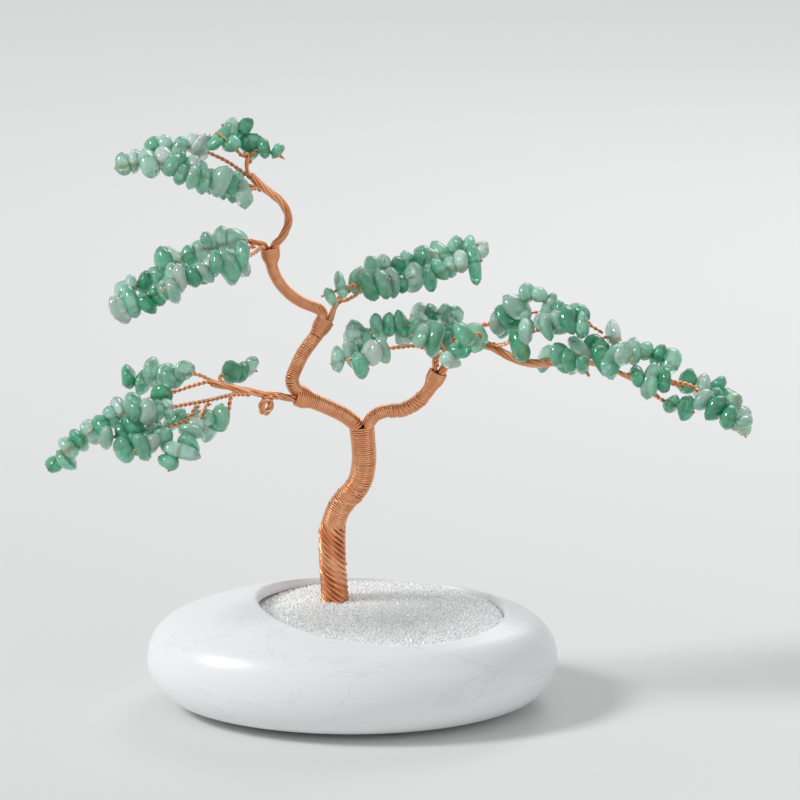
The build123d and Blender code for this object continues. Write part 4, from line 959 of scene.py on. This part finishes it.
def worn_chips(name, source, size):
    """All chips of one node as one object of rounded stones, and their number."""
    work = bmesh.new()
    tints = work.verts.layers.float.new("tint")
    creases = work.edges.layers.float.new("crease_edge")
    groups = islands(source.data)
    for island in groups:
        add_stone(work, tints, island, size)
    for edge in work.edges:
        edge[creases] = wear * dice.uniform(*edge_range)
    mesh = bpy.data.meshes.new(name)
    work.to_mesh(mesh)
    work.free()
    host = new_object(name, mesh)
    worn = host.modifiers.new("worn", "SUBSURF")
    worn.levels = 1
    worn.render_levels = 1
    piece = new_object(name, plain_mesh(host))
    piece.data.transform(source.matrix_world)
    piece.data.shade_smooth()
    paint(piece, stone)
    return piece, len(groups)


# %% Chips
chip_total = 0
for name in [n for n in nodes if n.endswith(("_chips", "_chip"))]:
    single = name.endswith("_chip")
    piece, count = worn_chips(name + "_worn", nodes[name], free_growth if single else growth)
    chip_total += count
    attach(piece, name if single else "tree")
    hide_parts(name)
print(chip_total, "chips")

# %% [markdown]
# ## Quartz grit
# The pot is filled up with crushed clear quartz of about a millimetre. Thousands of grains would be dull
# to place by hand, so a second node tree scatters them over a disc at the level of the bed. No two points
# come closer than the distance set, and each grain gets its own turn, size and tone.

# %% Quartz
quartz, tree = new_material("crushed_clear_quartz")
grain = add(tree, "ShaderNodeAttribute", attribute_name="grain").outputs["Fac"]
stops = [(0.0, "#E6E9EB"), (0.1, "#F6F7F7"), (0.5, "#FCFCFC"), (1.0, "#FFFFFF")]
tone = ramp(tree, grain, stops)
surface(tree, {"Base Color": tone, "Roughness": 0.2, "IOR": 1.544})
print("quartz tones:", [code for _, code in stops])

# %% Level of the bed
opening_middle = 10.0
opening_reach = (41.8, 37.3)
bed_radius = 600.0
pot_length, pot_depth = 142, 104
squash = pot_depth / pot_length
rings, spokes = 24, 72


def bed_level(x, y):
    """Height of the grit at a place, in millimetres."""
    away = (x - plant[0]) ** 2 + ((y - plant[1]) / squash) ** 2
    return plant[2] - bed_radius + math.sqrt(bed_radius**2 - away)


work = bmesh.new()
circles = []
for ring_number in range(1, rings + 1):
    circle = []
    for spoke in range(spokes):
        turn = math.tau * spoke / spokes
        x = opening_middle + opening_reach[0] * ring_number / rings * math.cos(turn)
        y = opening_reach[1] * ring_number / rings * math.sin(turn)
        circle.append(work.verts.new(Vector((x, y, bed_level(x, y))) * mm))
    circles.append(circle)
work.faces.new(circles[0])
for inner, outer in zip(circles, circles[1:]):
    for spoke in range(spokes):
        after = (spoke + 1) % spokes
        work.faces.new((inner[spoke], outer[spoke], outer[after], inner[after]))
disc = bpy.data.meshes.new("grit_disc")
work.to_mesh(disc)
work.free()
print("disc of", len(disc.polygons), "faces for the grit")

# %% Grit scatter
grain_spacing, grain_radius, grain_seed = 0.95 * mm, 0.72 * mm, 11
# in a square metre
most_grains = 4e6
grain_faces = 20
sockets = {"Bed": "Geometry", "Spacing": "Float", "Grain Radius": "Float", "Seed": "Int",
           "Finish": "Material"}
grit, grit_inputs, given = new_group("grit_scatter", sockets, "Grit")
spread = add(
    grit,
    "GeometryNodeDistributePointsOnFaces",
    {
        "Mesh": given["Bed"],
        "Distance Min": given["Spacing"],
        "Density Max": most_grains,
        "Seed": given["Seed"],
    },
    distribute_method="POISSON",
)
block = add(grit, "GeometryNodeMeshIcoSphere", {"Radius": given["Grain Radius"], "Subdivisions": 1})
spin = add(grit, "FunctionNodeRandomValue", {1: (math.tau,) * 3, "Seed": 3}, data_type="FLOAT_VECTOR")
smallest, largest = (0.7,) * 3, (1.25,) * 3
sizes = add(grit, "FunctionNodeRandomValue", {0: smallest, 1: largest, "Seed": 5}, data_type="FLOAT_VECTOR")
grains = add(
    grit,
    "GeometryNodeInstanceOnPoints",
    {
        "Points": spread.outputs["Points"],
        "Instance": block.outputs["Mesh"],
        "Rotation": spin.outputs[0],
        "Scale": sizes.outputs[0],
    },
)
chance = add(grit, "FunctionNodeRandomValue", {"Seed": 8}, data_type="FLOAT")
toned = add(
    grit,
    "GeometryNodeStoreNamedAttribute",
    {"Geometry": grains.outputs[0], "Name": "grain", "Value": chance.outputs[1]},
    data_type="FLOAT",
    domain="INSTANCE",
)
real = add(grit, "GeometryNodeRealizeInstances", {"Geometry": toned.outputs[0]})
flat = add(grit, "GeometryNodeSetShadeSmooth", {"Geometry": real.outputs[0], "Shade Smooth": False})
finished = add(grit, "GeometryNodeSetMaterial", {"Geometry": flat.outputs[0], "Material": given["Finish"]})
add(grit, "NodeGroupOutput", {"Grit": finished.outputs[0]})
host = new_object("grit_host", disc)
scatter = host.modifiers.new("scatter", "NODES")
scatter.node_group = grit
values = {"Spacing": grain_spacing, "Grain Radius": grain_radius, "Seed": grain_seed, "Finish": quartz}
for key, value in values.items():
    scatter[grit_inputs[key]] = value
grit_piece = new_object("quartz_grit", plain_mesh(host))
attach(grit_piece, "tree")
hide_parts("top_grains")
paint(nodes["gravel_bed"], quartz)
print("grit of", len(grit_piece.data.polygons) // grain_faces, "grains")
